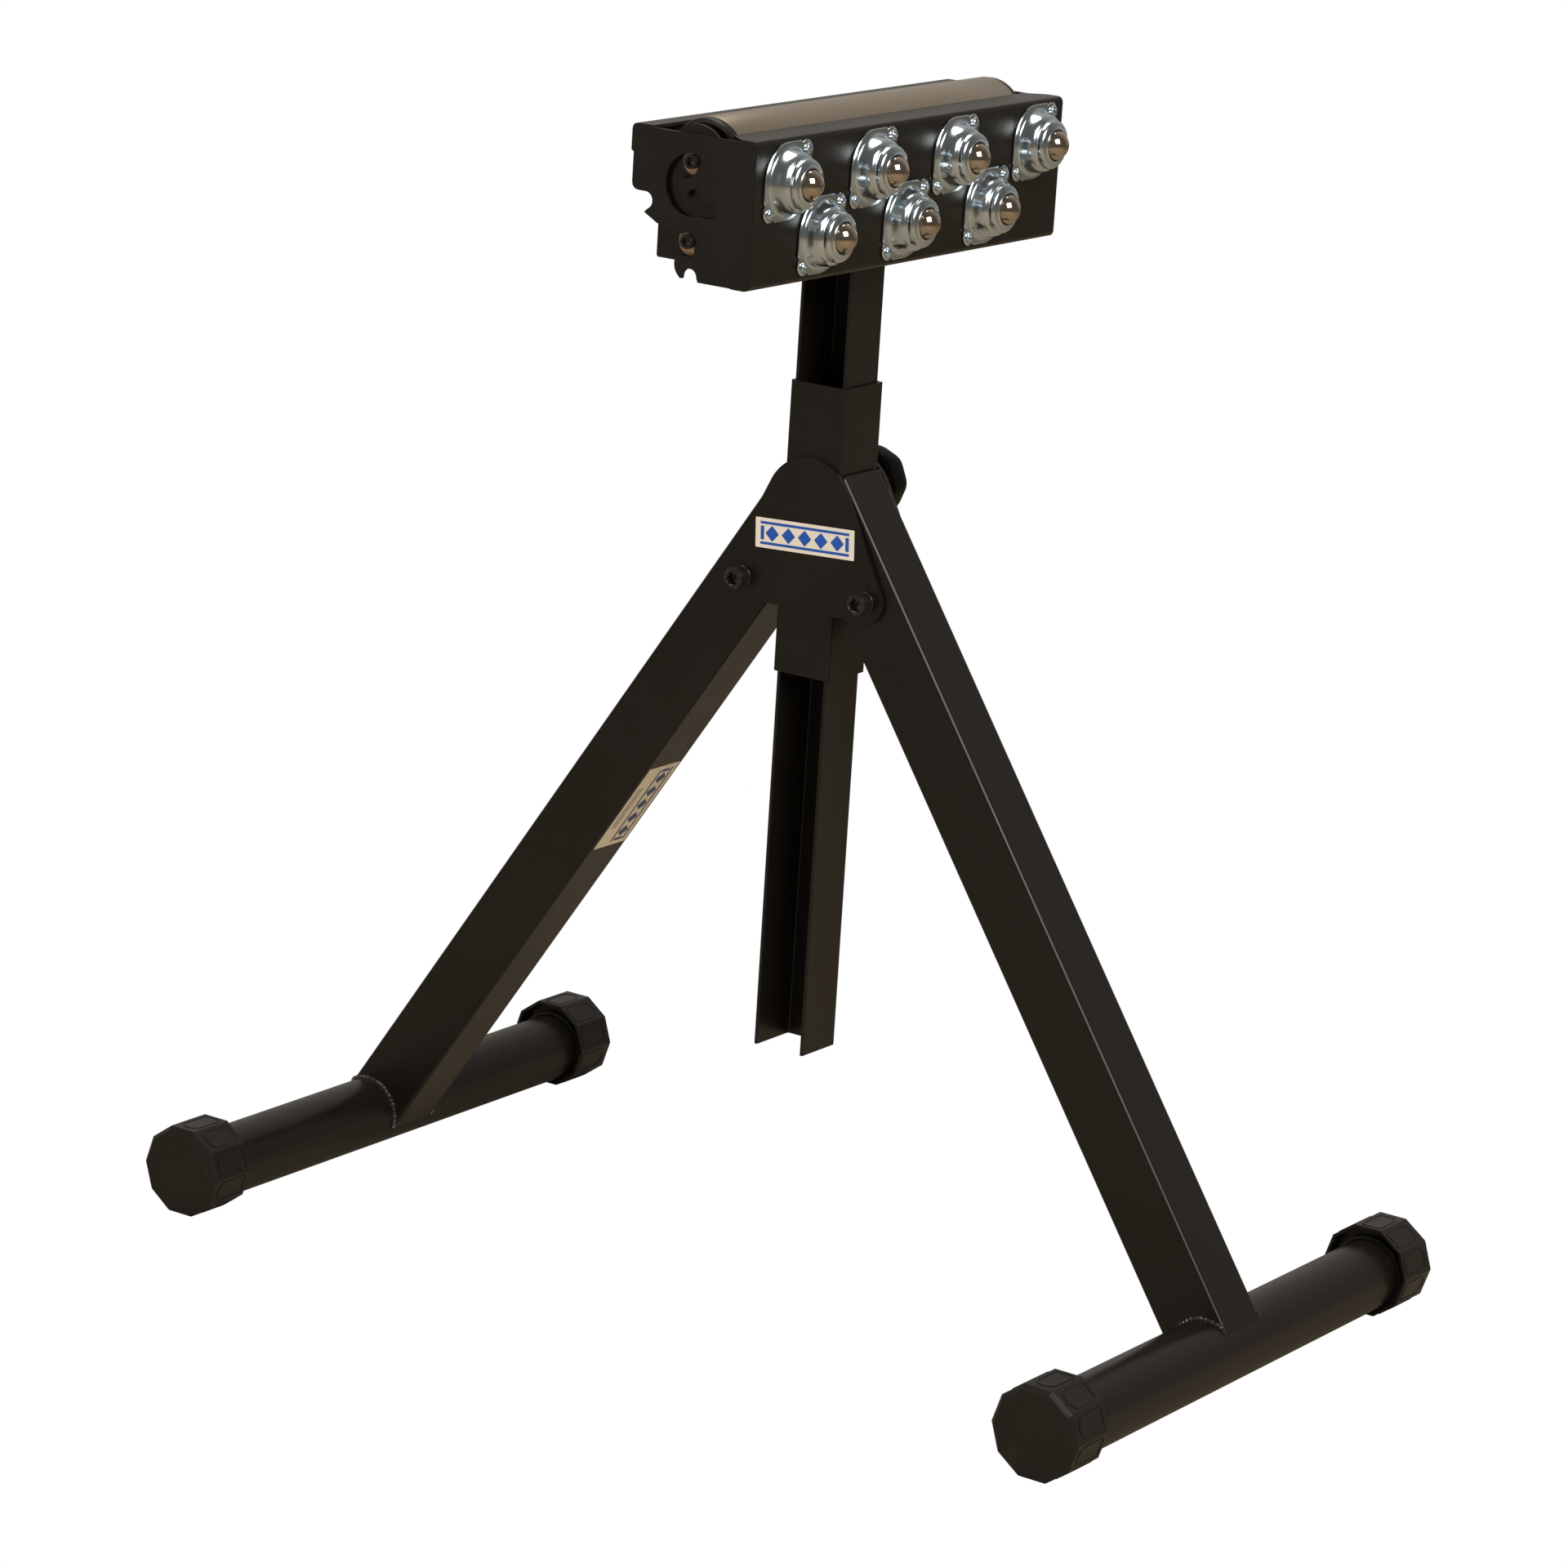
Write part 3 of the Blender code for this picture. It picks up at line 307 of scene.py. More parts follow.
def makeScuffGroup():
    # sparse rubbed marks and dust, 0 nearly everywhere
    inputs = [coordinatesIn, ("Scale", "NodeSocketFloat", 30.0), ("Reach", "NodeSocketFloat", 0.62)]
    tree, source, result = openGroup("scuffMarks", inputs, [("Mask", "NodeSocketFloat")])
    stretch = addNode(tree, "ShaderNodeMapping", {"Vector": source.outputs[0]})
    stretch.inputs["Scale"].default_value = (1.0, 2.6, 0.7)
    stretch.inputs["Rotation"].default_value = (0.5, 0.2, 0.8)
    broad = addNode(tree, "ShaderNodeTexNoise", {"Vector": stretch.outputs[0], "Scale": source.outputs[1]},
                    Detail=8.0, Roughness=0.7)
    fine = addNode(tree, "ShaderNodeTexNoise", {"Vector": source.outputs[0]}, Scale=420.0, Detail=2.0)
    above = mathNode(tree, "SUBTRACT", broad.outputs[0], source.outputs[2])
    strong = mathNode(tree, "MULTIPLY", above, 9.0)
    broken = mathNode(tree, "MULTIPLY", strong, fine.outputs[0])
    clamp = addNode(tree, "ShaderNodeClamp", {"Value": broken})
    tree.links.new(clamp.outputs[0], result.inputs[0])
    return tree


def makeStreakGroup():
    # drawn or turned lines: the coordinates are squeezed across the lines
    inputs = [coordinatesIn, ("Scale", "NodeSocketFloat", 60.0)]
    tree, source, result = openGroup("drawnLines", inputs, grainOut)
    lines = addNode(tree, "ShaderNodeTexNoise", {"Vector": source.outputs[0], "Scale": source.outputs[1]},
                    Detail=9.0, Roughness=0.75)
    cloud = addNode(tree, "ShaderNodeTexNoise", {"Vector": source.outputs[0]}, Scale=9.0, Detail=4.0)
    tree.links.new(lines.outputs[0], result.inputs[0])
    tree.links.new(cloud.outputs[0], result.inputs[1])
    return tree


skinGrain, scuffMarks, drawnLines = makeGrainGroup(), makeScuffGroup(), makeStreakGroup()


def useGroup(tree, group, links, **values):
    node = tree.nodes.new("ShaderNodeGroup")
    node.node_tree = group
    for key, source in links.items():
        tree.links.new(source, node.inputs[key])
    for key, value in values.items():
        node.inputs[key].default_value = value
    return node


def makeFinish(name, look):
    # two colours mixed by cloud and scuffs, roughness and bump from the same masks
    material = bpy.data.materials.new(name)
    material.use_nodes = True
    tree = material.node_tree
    shader = tree.nodes["Principled BSDF"]
    shader.inputs["Metallic"].default_value = look.get("metallic", 0.0)
    shader.inputs["Specular IOR Level"].default_value = look.get("specular", 0.5)
    coordinates = addNode(tree, "ShaderNodeTexCoord").outputs["Object"]
    squeeze = addNode(tree, "ShaderNodeMapping", {"Vector": coordinates})
    squeeze.inputs["Scale"].default_value = look.get("squeeze", (1.0, 1.0, 1.0))
    group = drawnLines if look.get("drawn") else skinGrain
    grain = useGroup(tree, group, {"Coordinates": squeeze.outputs[0]}, Scale=look["grainScale"])
    scuff = useGroup(tree, scuffMarks, {"Coordinates": coordinates}, Scale=look.get("scuffScale", 30.0),
                     Reach=look.get("scuffReach", 0.66))
    cloud = rangeNode(tree, grain.outputs["Cloud"], 0.3, 0.7, 0.0, 1.0)
    tone = addNode(tree, "ShaderNodeMix", {"Factor": cloud}, data_type="RGBA")
    tone.inputs[6].default_value = (*look["colour"], 1.0)
    tone.inputs[7].default_value = (*look["cloudColour"], 1.0)
    worn = addNode(tree, "ShaderNodeMix", {"Factor": scuff.outputs[0]}, data_type="RGBA")
    tree.links.new(tone.outputs[2], worn.inputs[6])
    worn.inputs[7].default_value = (*look["scuffColour"], 1.0)
    tree.links.new(worn.outputs[2], shader.inputs["Base Color"])
    spread = rangeNode(tree, grain.outputs["Cloud"], 0.3, 0.7, look["roughness"][0], look["roughness"][1])
    rough = mathNode(tree, "ADD", spread, mathNode(tree, "MULTIPLY", scuff.outputs[0], 0.12))
    tree.links.new(rough, shader.inputs["Roughness"])
    bump = addNode(tree, "ShaderNodeBump", {"Height": grain.outputs["Height"]})
    bump.inputs["Strength"].default_value = look["bump"]
    bump.inputs["Distance"].default_value = look.get("bumpDepth", 0.0002)
    tree.links.new(bump.outputs[0], shader.inputs["Normal"])
    return material


finishes = {
    "powderCoat": {"colour": (0.0074, 0.0060, 0.0047), "cloudColour": (0.0093, 0.0076, 0.0060),
                   "scuffColour": (0.022, 0.018, 0.013), "roughness": (0.28, 0.35), "specular": 0.39,
                   "grainScale": 1300.0, "bump": 0.10, "scuffReach": 0.70},
    "capPlastic": {"colour": (0.0068, 0.0057, 0.0046), "cloudColour": (0.0100, 0.0083, 0.0067),
                   "scuffColour": (0.030, 0.025, 0.019), "roughness": (0.32, 0.42), "specular": 0.42,
                   "grainScale": 1800.0, "bump": 0.16, "scuffReach": 0.60, "scuffScale": 46.0},
    "knobPlastic": {"colour": (0.0034, 0.0030, 0.0026), "cloudColour": (0.0048, 0.0043, 0.0037),
                    "scuffColour": (0.030, 0.026, 0.021), "roughness": (0.36, 0.46), "specular": 0.10,
                    "grainScale": 1500.0, "bump": 0.14, "scuffReach": 0.62, "scuffScale": 60.0},
    "zincPlate": {"colour": (0.73, 0.82, 0.90), "cloudColour": (0.59, 0.69, 0.76),
                  "scuffColour": (0.36, 0.35, 0.33), "roughness": (0.13, 0.23), "metallic": 1.0,
                  "grainScale": 260.0, "bump": 0.05, "scuffReach": 0.62, "scuffScale": 70.0},
    "ballSteel": {"colour": (0.62, 0.53, 0.43), "cloudColour": (0.52, 0.43, 0.34),
                  "scuffColour": (0.18, 0.14, 0.11), "roughness": (0.06, 0.12), "metallic": 1.0,
                  "grainScale": 500.0, "bump": 0.03, "scuffReach": 0.66, "scuffScale": 90.0},
    "rollerSteel": {"colour": (0.42, 0.362, 0.292), "cloudColour": (0.29, 0.248, 0.200),
                    "scuffColour": (0.34, 0.31, 0.26), "roughness": (0.30, 0.40), "metallic": 0.85,
                    "drawn": True, "squeeze": (0.12, 1.0, 1.0), "grainScale": 420.0, "bump": 0.06,
                    "scuffReach": 0.63, "scuffScale": 40.0},
    "plainSteel": {"colour": (0.42, 0.41, 0.39), "cloudColour": (0.34, 0.33, 0.31),
                   "scuffColour": (0.2, 0.18, 0.16), "roughness": (0.24, 0.36), "metallic": 1.0,
                   "drawn": True, "squeeze": (6.0, 1.0, 1.0), "grainScale": 300.0, "bump": 0.10},
    "blackOxide": {"colour": (0.011, 0.010, 0.0086), "cloudColour": (0.018, 0.0163, 0.0142),
                   "scuffColour": (0.07, 0.066, 0.06), "roughness": (0.17, 0.26), "metallic": 0.15,
                   "specular": 0.75, "grainScale": 900.0, "bump": 0.08, "scuffReach": 0.62,
                   "scuffScale": 90.0},
    "yellowZinc": {"colour": (0.47, 0.29, 0.18), "cloudColour": (0.56, 0.40, 0.27),
                   "scuffColour": (0.24, 0.16, 0.11), "roughness": (0.30, 0.42), "metallic": 0.7,
                   "grainScale": 600.0, "bump": 0.08},
    "weldSteel": {"colour": (0.016, 0.014, 0.012), "cloudColour": (0.030, 0.028, 0.025),
                  "scuffColour": (0.07, 0.065, 0.06), "roughness": (0.16, 0.30), "specular": 0.6,
                  "grainScale": 520.0, "bump": 0.35, "bumpDepth": 0.0006},
    "labelCream": {"colour": (0.92, 0.85, 0.74), "cloudColour": (0.86, 0.79, 0.68),
                   "scuffColour": (0.6, 0.53, 0.43), "roughness": (0.34, 0.44), "specular": 0.4,
                   "grainScale": 800.0, "bump": 0.03, "scuffReach": 0.68},
    "labelBlue": {"colour": (0.010, 0.085, 0.46), "cloudColour": (0.013, 0.105, 0.52),
                  "scuffColour": (0.12, 0.20, 0.45), "roughness": (0.32, 0.42), "specular": 0.4,
                  "grainScale": 800.0, "bump": 0.03, "scuffReach": 0.68},
    "legCream": {"colour": (0.58, 0.47, 0.33), "cloudColour": (0.52, 0.42, 0.29),
                 "scuffColour": (0.4, 0.33, 0.24), "roughness": (0.40, 0.50), "specular": 0.3,
                 "grainScale": 800.0, "bump": 0.03},
    "legBlue": {"colour": (0.030, 0.055, 0.105), "cloudColour": (0.040, 0.068, 0.125),
                "scuffColour": (0.12, 0.14, 0.18), "roughness": (0.40, 0.50), "specular": 0.3,
                "grainScale": 800.0, "bump": 0.03},
}
made = {name: makeFinish(name, look) for name, look in finishes.items()}
print("finishes made:", len(made))

# Folded and welded steel keeps the frame's own shapes, with softened edges

steelSkins = {
    # node: its body and how far its edges are softened
    "sleeve": ("frame", 0.0005), "gusset_left": ("frame", 0.0006), "gusset_right": ("frame", 0.0006),
    "leg_tube_front": ("front_leg", 0.0003), "leg_tube_back": ("back_leg", 0.0003),
    "post": ("post", 0.0004), "head_bracket": ("post", 0.0004), "ball_plate_shell": ("ball_plate", 0.0004),
}


def softCopy(name, node, width, segments, degrees):
    # the frame's own mesh with its flats joined into single faces and its edges softened
    piece = bpy.data.objects.new(name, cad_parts[node].data.copy())
    bpy.context.scene.collection.objects.link(piece)
    fixNormals(piece, 0.00001)
    bpy.ops.object.mode_set(mode="EDIT")
    bpy.ops.mesh.select_all(action="SELECT")
    bpy.ops.mesh.dissolve_limited(angle_limit=math.radians(0.6))
    bpy.ops.object.mode_set(mode="OBJECT")
    softenEdges(piece, width, segments, degrees)
    smooth(piece, 40)
    weigh(piece)
    return piece


for node, (body, width) in steelSkins.items():
    skin = softCopy(node + "Skin", node, width, 2, 30)
    finishPiece(skin, body, made["powderCoat"], [node])
print("steel dressed")

# Foot tubes and their ten-sided caps

footLook = {"tubeSteps": 96, "wall": 0.002, "edge": 0.0004}
capLook = {"sides": 10, "edgeRound": 0.0012, "padSize": (0.0290, 0.0158), "padRound": 0.0068,
           "padCorner": 0.0022, "padRise": 0.0004, "padLine": 0.0010, "padShift": 0.0024,
           "ringRadius": 0.0225, "ringRise": 0.0002, "ringLine": 0.0006}


def makeFootTube(tag):
    node = f"foot_tube_{tag}"
    low, high = map(Vector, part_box(node))
    centre, half, radius = (low + high) / 2, (high.x - low.x) / 2, (high.y - low.y) / 2
    inner, edge = radius - footLook["wall"], footLook["edge"]
    profile = [(inner, -half), (radius - edge, -half), (radius, -half + edge), (radius, 0),
               (radius, half - edge), (radius - edge, half), (inner, half), (inner, -half)]
    tube = spinPiece(f"footTube{tag.title()}", profile, centre, "X", footLook["tubeSteps"])
    smooth(tube)
    finishPiece(tube, f"{tag}_leg", made["powderCoat"], [node])


def makeRing(name, radius, rise, line, centre):
    # a raised ring on a face towards -X, its foot a little inside that face
    inner, soft, foot = radius - line, line * 0.25, 0.0003
    profile = [(radius, foot), (radius, -rise + soft), (radius - soft, -rise), (inner + soft, -rise),
               (inner, -rise + soft), (inner, foot), (radius, foot)]
    return spinPiece(name, profile, centre, "X", footLook["tubeSteps"])


def makeCap(name, node):
    # its mouth is towards +X, its closed face towards -X
    cap = softCopy(name, node, capLook["edgeRound"], 3, 18)
    low, high = map(Vector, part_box(node))
    centre, apothem = (low + high) / 2, (high.z - low.z) / 2
    pads = []
    for number in range(1, capLook["sides"]):  # the lowest side, on the floor, has none
        pad = makeFrame(f"pad{number}", capLook["padSize"], capLook["padRound"], capLook["padCorner"],
                        capLook["padLine"], capLook["padRise"])
        turn = Matrix.Rotation(2 * math.pi * number / capLook["sides"], 4, "X")
        stand = Matrix.Translation(centre + Vector((capLook["padShift"], 0, 0))) @ turn
        pad.data.transform(stand @ Matrix.Translation((0, 0, -apothem)) @ Matrix.Rotation(math.pi, 4, "X"))
        pads.append(pad)
    face = Vector((low.x, centre.y, centre.z))
    pads.append(makeRing("faceRing", capLook["ringRadius"], capLook["ringRise"], capLook["ringLine"], face))
    for pad in pads:
        smooth(pad, 30)
    joinInto(cap, pads)
    return cap, centre


def makeFeet():
    for tag in ("front", "back"):
        makeFootTube(tag)
    first, firstCentre = makeCap("footCapFrontLeft", "foot_cap_front_left")
    for tag in ("front", "back"):
        for side in ("left", "right"):
            node = f"foot_cap_{tag}_{side}"
            if (tag, side) == ("front", "left"):
                cap = first
            else:
                turn = Matrix.Rotation(math.pi if side == "right" else 0.0, 4, "Z")
                move = Matrix.Translation(middle(node)) @ turn @ Matrix.Translation(-firstCentre)
                cap = copyPiece(first, f"footCap{tag.title()}{side.title()}", move)
            finishPiece(cap, f"{tag}_leg", made["capPlastic"], [node])


makeFeet()
print("feet made")

# Socket-head screws, washers and nuts

origin = Vector((0, 0, 0))
screwSteps = 72
legBoltLook = {"radius": 0.005, "edge": 0.0015, "socket": 0.0045, "depth": 0.0060, "knurl": 0.00008,
               "bore": 0.0053, "washer": 0.0083, "gap": 0.0003}
hangerLook = {"radius": 0.003, "edge": 0.0008, "socket": 0.0029, "depth": 0.0034, "knurl": 0.00012,
              "height": 0.006, "washerBore": 0.0031, "nutBore": 0.0033}


def makeSocketScrew(name, head, height, length, look):
    # head outwards along -X, its face at x = 0
    radius, edge, socket, depth = look["radius"], look["edge"], look["socket"], look["depth"]
    lip = socket * 1.24
    profile = [(0, length), (radius * 0.85, length), (radius, length - 0.0006), (radius, height),
               (head - 0.0002, height), (head, height - 0.0003), (head, edge * 1.6),
               (head - edge * 0.3, edge * 0.6), (head - edge, 0), (lip, 0), (lip - 0.0004, 0.0004),
               (socket, 0.0006), (socket, depth), (0, depth + socket * 0.4)]
    screw = spinPiece(name, profile, origin, "X", screwSteps)

    def rule(reach, along, angle):
        if abs(reach - socket) < 0.00005 and along > 0.0005:
            return socket * 0.93 * polygonFactor(angle, 6)
        groove = round(angle / (2 * math.pi / screwSteps)) % 2
        if groove and reach > head - 0.00015 and edge * 1.5 < along < height:
            return reach - look["knurl"]
        return reach

    reshape(screw, origin, "X", rule)
    smooth(screw, 24)
    return screw


def makeWasher(name, inner, outer, thickness):
    edge = thickness * 0.25
    profile = [(inner, 0), (outer - edge, 0), (outer, edge), (outer, thickness - edge),
               (outer - edge, thickness), (inner, thickness), (inner, 0)]
    washer = spinPiece(name, profile, origin, "X", 56)
    smooth(washer, 50)
    return washer


def makeNut(name, inner, flats, height):
    corner, turned, lead = flats / math.cos(math.pi / 6), flats * 1.06, 0.0004
    profile = [(inner + lead, 0), (turned, 0), (corner, height * 0.14), (corner, height * 0.86),
               (turned, height), (inner + lead, height), (inner, height - lead), (inner, lead),
               (inner + lead, 0)]
    nut = spinPiece(name, profile, origin, "X", screwSteps)

    def rule(reach, along, angle):
        return min(reach, flats * polygonFactor(angle, 6)) if reach > inner * 1.2 else reach

    reshape(nut, origin, "X", rule)
    smooth(nut, 22)
    return nut


def place(piece, name, spot, turned=False):
    turn = Matrix.Rotation(math.pi, 4, "Z") if turned else Matrix.Identity(4)
    return copyPiece(piece, name, Matrix.Translation(spot) @ turn)


def dropMasters(*masters):
    for master in masters:
        bpy.data.objects.remove(master, do_unlink=True)


def makeLegBolts():
    low, high = map(Vector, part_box("leg_bolt_front"))
    washLow, washHigh = map(Vector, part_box("leg_bolt_washer_front"))
    nutLow, nutHigh = map(Vector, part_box("leg_bolt_nut_front"))
    look = legBoltLook
    screw = makeSocketScrew("legBoltMaster", (high.y - low.y) / 2, washLow.x - look["gap"] - low.x,
                            high.x - low.x, look)
    washer = makeWasher("legWasherMaster", look["bore"], look["washer"], washHigh.x - washLow.x)
    nut = makeNut("legNutMaster", look["bore"], (nutHigh.z - nutLow.z) / 2, nutHigh.x - nutLow.x)
    kinds = ((screw, "leg_bolt", low.x), (washer, "leg_bolt_washer", washLow.x),
             (nut, "leg_bolt_nut", nutLow.x))
    for tag in ("front", "back"):
        spot = middle(f"leg_bolt_{tag}")
        for master, kind, startX in kinds:
            name = kind.replace("_", "") + tag.title()
            piece = place(master, name, Vector((startX, spot.y, spot.z)))
            finishPiece(piece, "frame", made["blackOxide"], [f"{kind}_{tag}"])
    dropMasters(screw, washer, nut)


makeLegBolts()


def makeHangers():
    low, high = map(Vector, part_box("hanger_screw_upper_left"))
    washLow, washHigh = map(Vector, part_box("hanger_washer_upper_left"))
    nutLow, nutHigh = map(Vector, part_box("hanger_nut_left"))
    look = hangerLook
    screw = makeSocketScrew("hangerScrewMaster", (high.y - low.y) / 2, look["height"], high.x - low.x, look)
    washer = makeWasher("hangerWasherMaster", look["washerBore"], (washHigh.y - washLow.y) / 2,
                        washHigh.x - washLow.x)
    nut = makeNut("hangerNutMaster", look["nutBore"], (nutHigh.z - nutLow.z) / 2, nutHigh.x - nutLow.x)
    for row in ("upper", "lower"):
        for side in ("left", "right"):
            turned = side == "right"
            spot = middle(f"hanger_screw_{row}_{side}")
            name = f"{row.title()}{side.title()}"
            spot.x = -low.x if turned else low.x
            piece = place(screw, f"hangerScrew{name}", spot, turned)
            finishPiece(piece, "post", made["blackOxide"], [f"hanger_screw_{row}_{side}"])
            spot.x = -washLow.x if turned else washLow.x
            piece = place(washer, f"hangerWasher{name}", spot, turned)
            body = "swing_washers" if row == "upper" else "post"
            finishPiece(piece, body, made["yellowZinc"], [f"hanger_washer_{row}_{side}"])
            if row == "lower":
                spot.x = -nutLow.x if turned else nutLow.x
                piece = place(nut, f"hangerNut{side.title()}", spot, turned)
                finishPiece(piece, "post", made["plainSteel"], [f"hanger_nut_{side}"])
    dropMasters(screw, washer, nut)


makeHangers()
print("screws made")

# Clamp: welded nut, threaded stud and scalloped knob

knobLook = {"radius": 0.0247, "lobes": 8, "depth": 0.0005, "hub": 0.011, "hubLength": 0.006, "steps": 126,
            "boreGap": 0.00008, "tipGap": 0.0003}
studLook = {"pitch": 0.0015, "root": 0.87, "lead": 0.0006, "nutGap": 0.0003, "steps": 40}


def makeClamp():
    low, high = map(Vector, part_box("clamp_knob"))
    studLow, studHigh = map(Vector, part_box("clamp_stud"))
    nutLow, nutHigh = map(Vector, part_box("clamp_nut"))
    studRadius = (studHigh.y - studLow.y) / 2
    centre = Vector((0, 0, (studLow.z + studHigh.z) / 2))
    nut = makeNut("clampNutMaster", studRadius + studLook["nutGap"], (nutHigh.z - nutLow.z) / 2,
                  nutHigh.x - nutLow.x)
    piece = place(nut, "clampNutSkin", Vector((nutLow.x, 0, centre.z)))
    finishPiece(piece, "frame", made["powderCoat"], ["clamp_nut"])
    dropMasters(nut)
    pitch, root = studLook["pitch"], studRadius * studLook["root"]
    profile, along = [(0, studLow.x), (studRadius * 0.8, studLow.x)], studLow.x + studLook["lead"]
    while along < studHigh.x - pitch:
        profile += [(root, along), (studRadius, along + pitch * 0.45)]
        along += pitch
    profile += [(root, studHigh.x - 0.0003), (0, studHigh.x)]
    stud = spinPiece("clampStudSkin", profile, centre, "X", studLook["steps"])
    smooth(stud, 20)
    finishPiece(stud, "clamp_stud", made["plainSteel"], ["clamp_stud"])
    reach, hub, bore = knobLook["radius"], knobLook["hub"], studRadius + knobLook["boreGap"]
    tip, skirt = studHigh.x + knobLook["tipGap"], low.x + knobLook["hubLength"]
    profile = [
        (0, tip), (bore, tip), (bore, low.x), (hub - 0.0008, low.x), (hub, low.x + 0.0008),
        (hub, skirt + 0.0015), (hub + 0.0015, skirt + 0.003), (reach - 0.0075, skirt + 0.003),
        (reach - 0.0060, skirt), (reach - 0.0030, skirt), (reach - 0.0009, skirt + 0.0010),
        (reach, skirt + 0.0035), (reach, high.x - 0.0050), (reach - 0.0010, high.x - 0.0022),
        (reach - 0.0035, high.x - 0.0006), (reach - 0.0065, high.x), (reach * 0.45, high.x - 0.0006),
        (reach * 0.42, high.x - 0.0016), (0, high.x - 0.0016)]
    knob = spinPiece("clampKnobSkin", profile, centre, "X", knobLook["steps"])

    def rule(radius, distance, angle):
        # lobes grow from nothing at 0.62 of the radius to their full depth at the rim
        share = max(0.0, (radius - reach * 0.62) / (reach * 0.38))
        return radius - share * knobLook["depth"] * (1 - math.cos(knobLook["lobes"] * angle))

    reshape(knob, centre, "X", rule)
    smooth(knob, 34)
    finishPiece(knob, "clamp_knob", made["knobPlastic"], ["clamp_knob"])


makeClamp()
print("clamp made")

# Roller: drawn tube, moulded ends, bearings and axle

rollerLook = {"wall": 0.002, "edge": 0.0006, "steps": 120, "plugGap": 0.0003, "bearingSeat": 0.0143,
              "shaftHole": 0.0066}
bearingLook = {"bore": 0.00608, "outer": 0.014}
axleLook = {"tappedHole": 0.0033, "tappedDepth": 0.014, "edge": 0.0004}


def makeRoller():
    low, high = map(Vector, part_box("roller_tube"))
    centre, half, radius = (low + high) / 2, (high.x - low.x) / 2, (high.y - low.y) / 2
    inner, edge = radius - rollerLook["wall"], rollerLook["edge"]
    profile = [(inner, -half), (radius - edge, -half), (radius - edge * 0.3, -half + edge * 0.3),
               (radius, -half + edge), (radius, -half * 0.5), (radius, 0), (radius, half * 0.5),
               (radius, half - edge), (radius - edge * 0.3, half - edge * 0.3), (radius - edge, half),
               (inner, half), (inner, -half)]
    tube = spinPiece("rollerTubeSkin", profile, centre, "X", rollerLook["steps"])
    smooth(tube)
    finishPiece(tube, "roller", made["rollerSteel"], ["roller_tube"])
    for side, sign in (("left", -1), ("right", 1)):
        endLow, endHigh = map(Vector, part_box(f"roller_end_{side}"))
        bearingLow, bearingHigh = map(Vector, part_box(f"roller_bearing_{side}"))
        start, face = sorted((abs(endLow.x), abs(endHigh.x)))
        bearingBack, bearingFace = sorted((abs(bearingLow.x), abs(bearingHigh.x)))
        seat, shaft, gap = rollerLook["bearingSeat"], rollerLook["shaftHole"], rollerLook["plugGap"]
        rim, plug = (endHigh.y - endLow.y) / 2, inner - gap
        points = [
            (shaft, start), (plug, start), (plug, half + gap), (rim, half + gap), (rim, face - 0.0018),
            (rim - 0.0006, face - 0.0006), (rim - 0.0018, face), (rim - 0.0034, face),
            (rim - 0.0040, face - 0.0012), (rim - 0.0052, face - 0.0012), (rim - 0.0058, face - 0.0022),
            (seat + 0.0042, face - 0.0024), (seat + 0.0034, face - 0.0016), (seat + 0.0008, face - 0.0018),
            (seat, face - 0.0024), (seat, bearingBack - gap), (shaft, bearingBack - gap), (shaft, start)]
        end = spinPiece(f"rollerEnd{side.title()}", [(r, sign * x) for r, x in points], centre, "X", 96)
        smooth(end, 36)
        finishPiece(end, "roller", made["capPlastic"], [f"roller_end_{side}"])
        bore, outer = bearingLook["bore"], bearingLook["outer"]
        points = [
            (bore, bearingBack), (outer, bearingBack), (outer, bearingFace), (outer - 0.0016, bearingFace),
            (outer - 0.0020, bearingFace - 0.0006), (bore + 0.0022, bearingFace - 0.0006),
            (bore + 0.0018, bearingFace), (bore, bearingFace), (bore, bearingBack)]
        points = [(r, sign * x) for r, x in points]
        bearing = spinPiece(f"rollerBearing{side.title()}", points, centre, "X", 72)
        smooth(bearing, 36)
        finishPiece(bearing, "roller", made["plainSteel"], [f"roller_bearing_{side}"])
    axleLow, axleHigh = map(Vector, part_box("roller_axle"))
    reach, thick, edge = axleHigh.x, (axleHigh.y - axleLow.y) / 2, axleLook["edge"]
    tapped, depth = axleLook["tappedHole"], axleLook["tappedDepth"]
    points = [(0, -reach + depth), (tapped, -reach + depth), (tapped, -reach), (thick - edge, -reach),
              (thick, -reach + edge), (thick, 0), (thick, reach - edge), (thick - edge, reach),
              (tapped, reach), (tapped, reach - depth), (0, reach - depth)]
    axle = spinPiece("rollerAxleSkin", points, centre, "X", 64)
    smooth(axle, 36)
    finishPiece(axle, "post", made["plainSteel"], ["roller_axle"])


makeRoller()
print("roller made")

# Ball transfer units: stamped flanged cup, ball and two cross-head screws

unitLook = {"count": 7, "steps": 96, "halfWidth": 0.0265, "earRound": 0.0075, "earStart": 0.0236,
            "flange": 0.0016, "screwSpot": 0.0205}
crossScrewLook = {"radius": 0.0037, "rise": 0.0024, "slot": 0.0011, "slotLength": 0.0048, "slotDepth": 0.0014,
                  "slotTurn": 0.5, "edge": 0.00012}


def leaf(angle):
    # the flange's outline: round, with two rounded square ears that hold the screws
    turn = angle % math.pi
    if turn > math.pi / 2:
        return 1.0
    corner = unitLook["earRound"] / unitLook["halfWidth"]
    inset = 1 - corner
    spread = inset * (math.cos(turn) + math.sin(turn))
    inside = spread ** 2 - 2 * inset ** 2 + corner ** 2
    square = 1 / max(math.cos(turn), math.sin(turn))
    return min(square, spread + math.sqrt(inside)) if inside > 0 else square


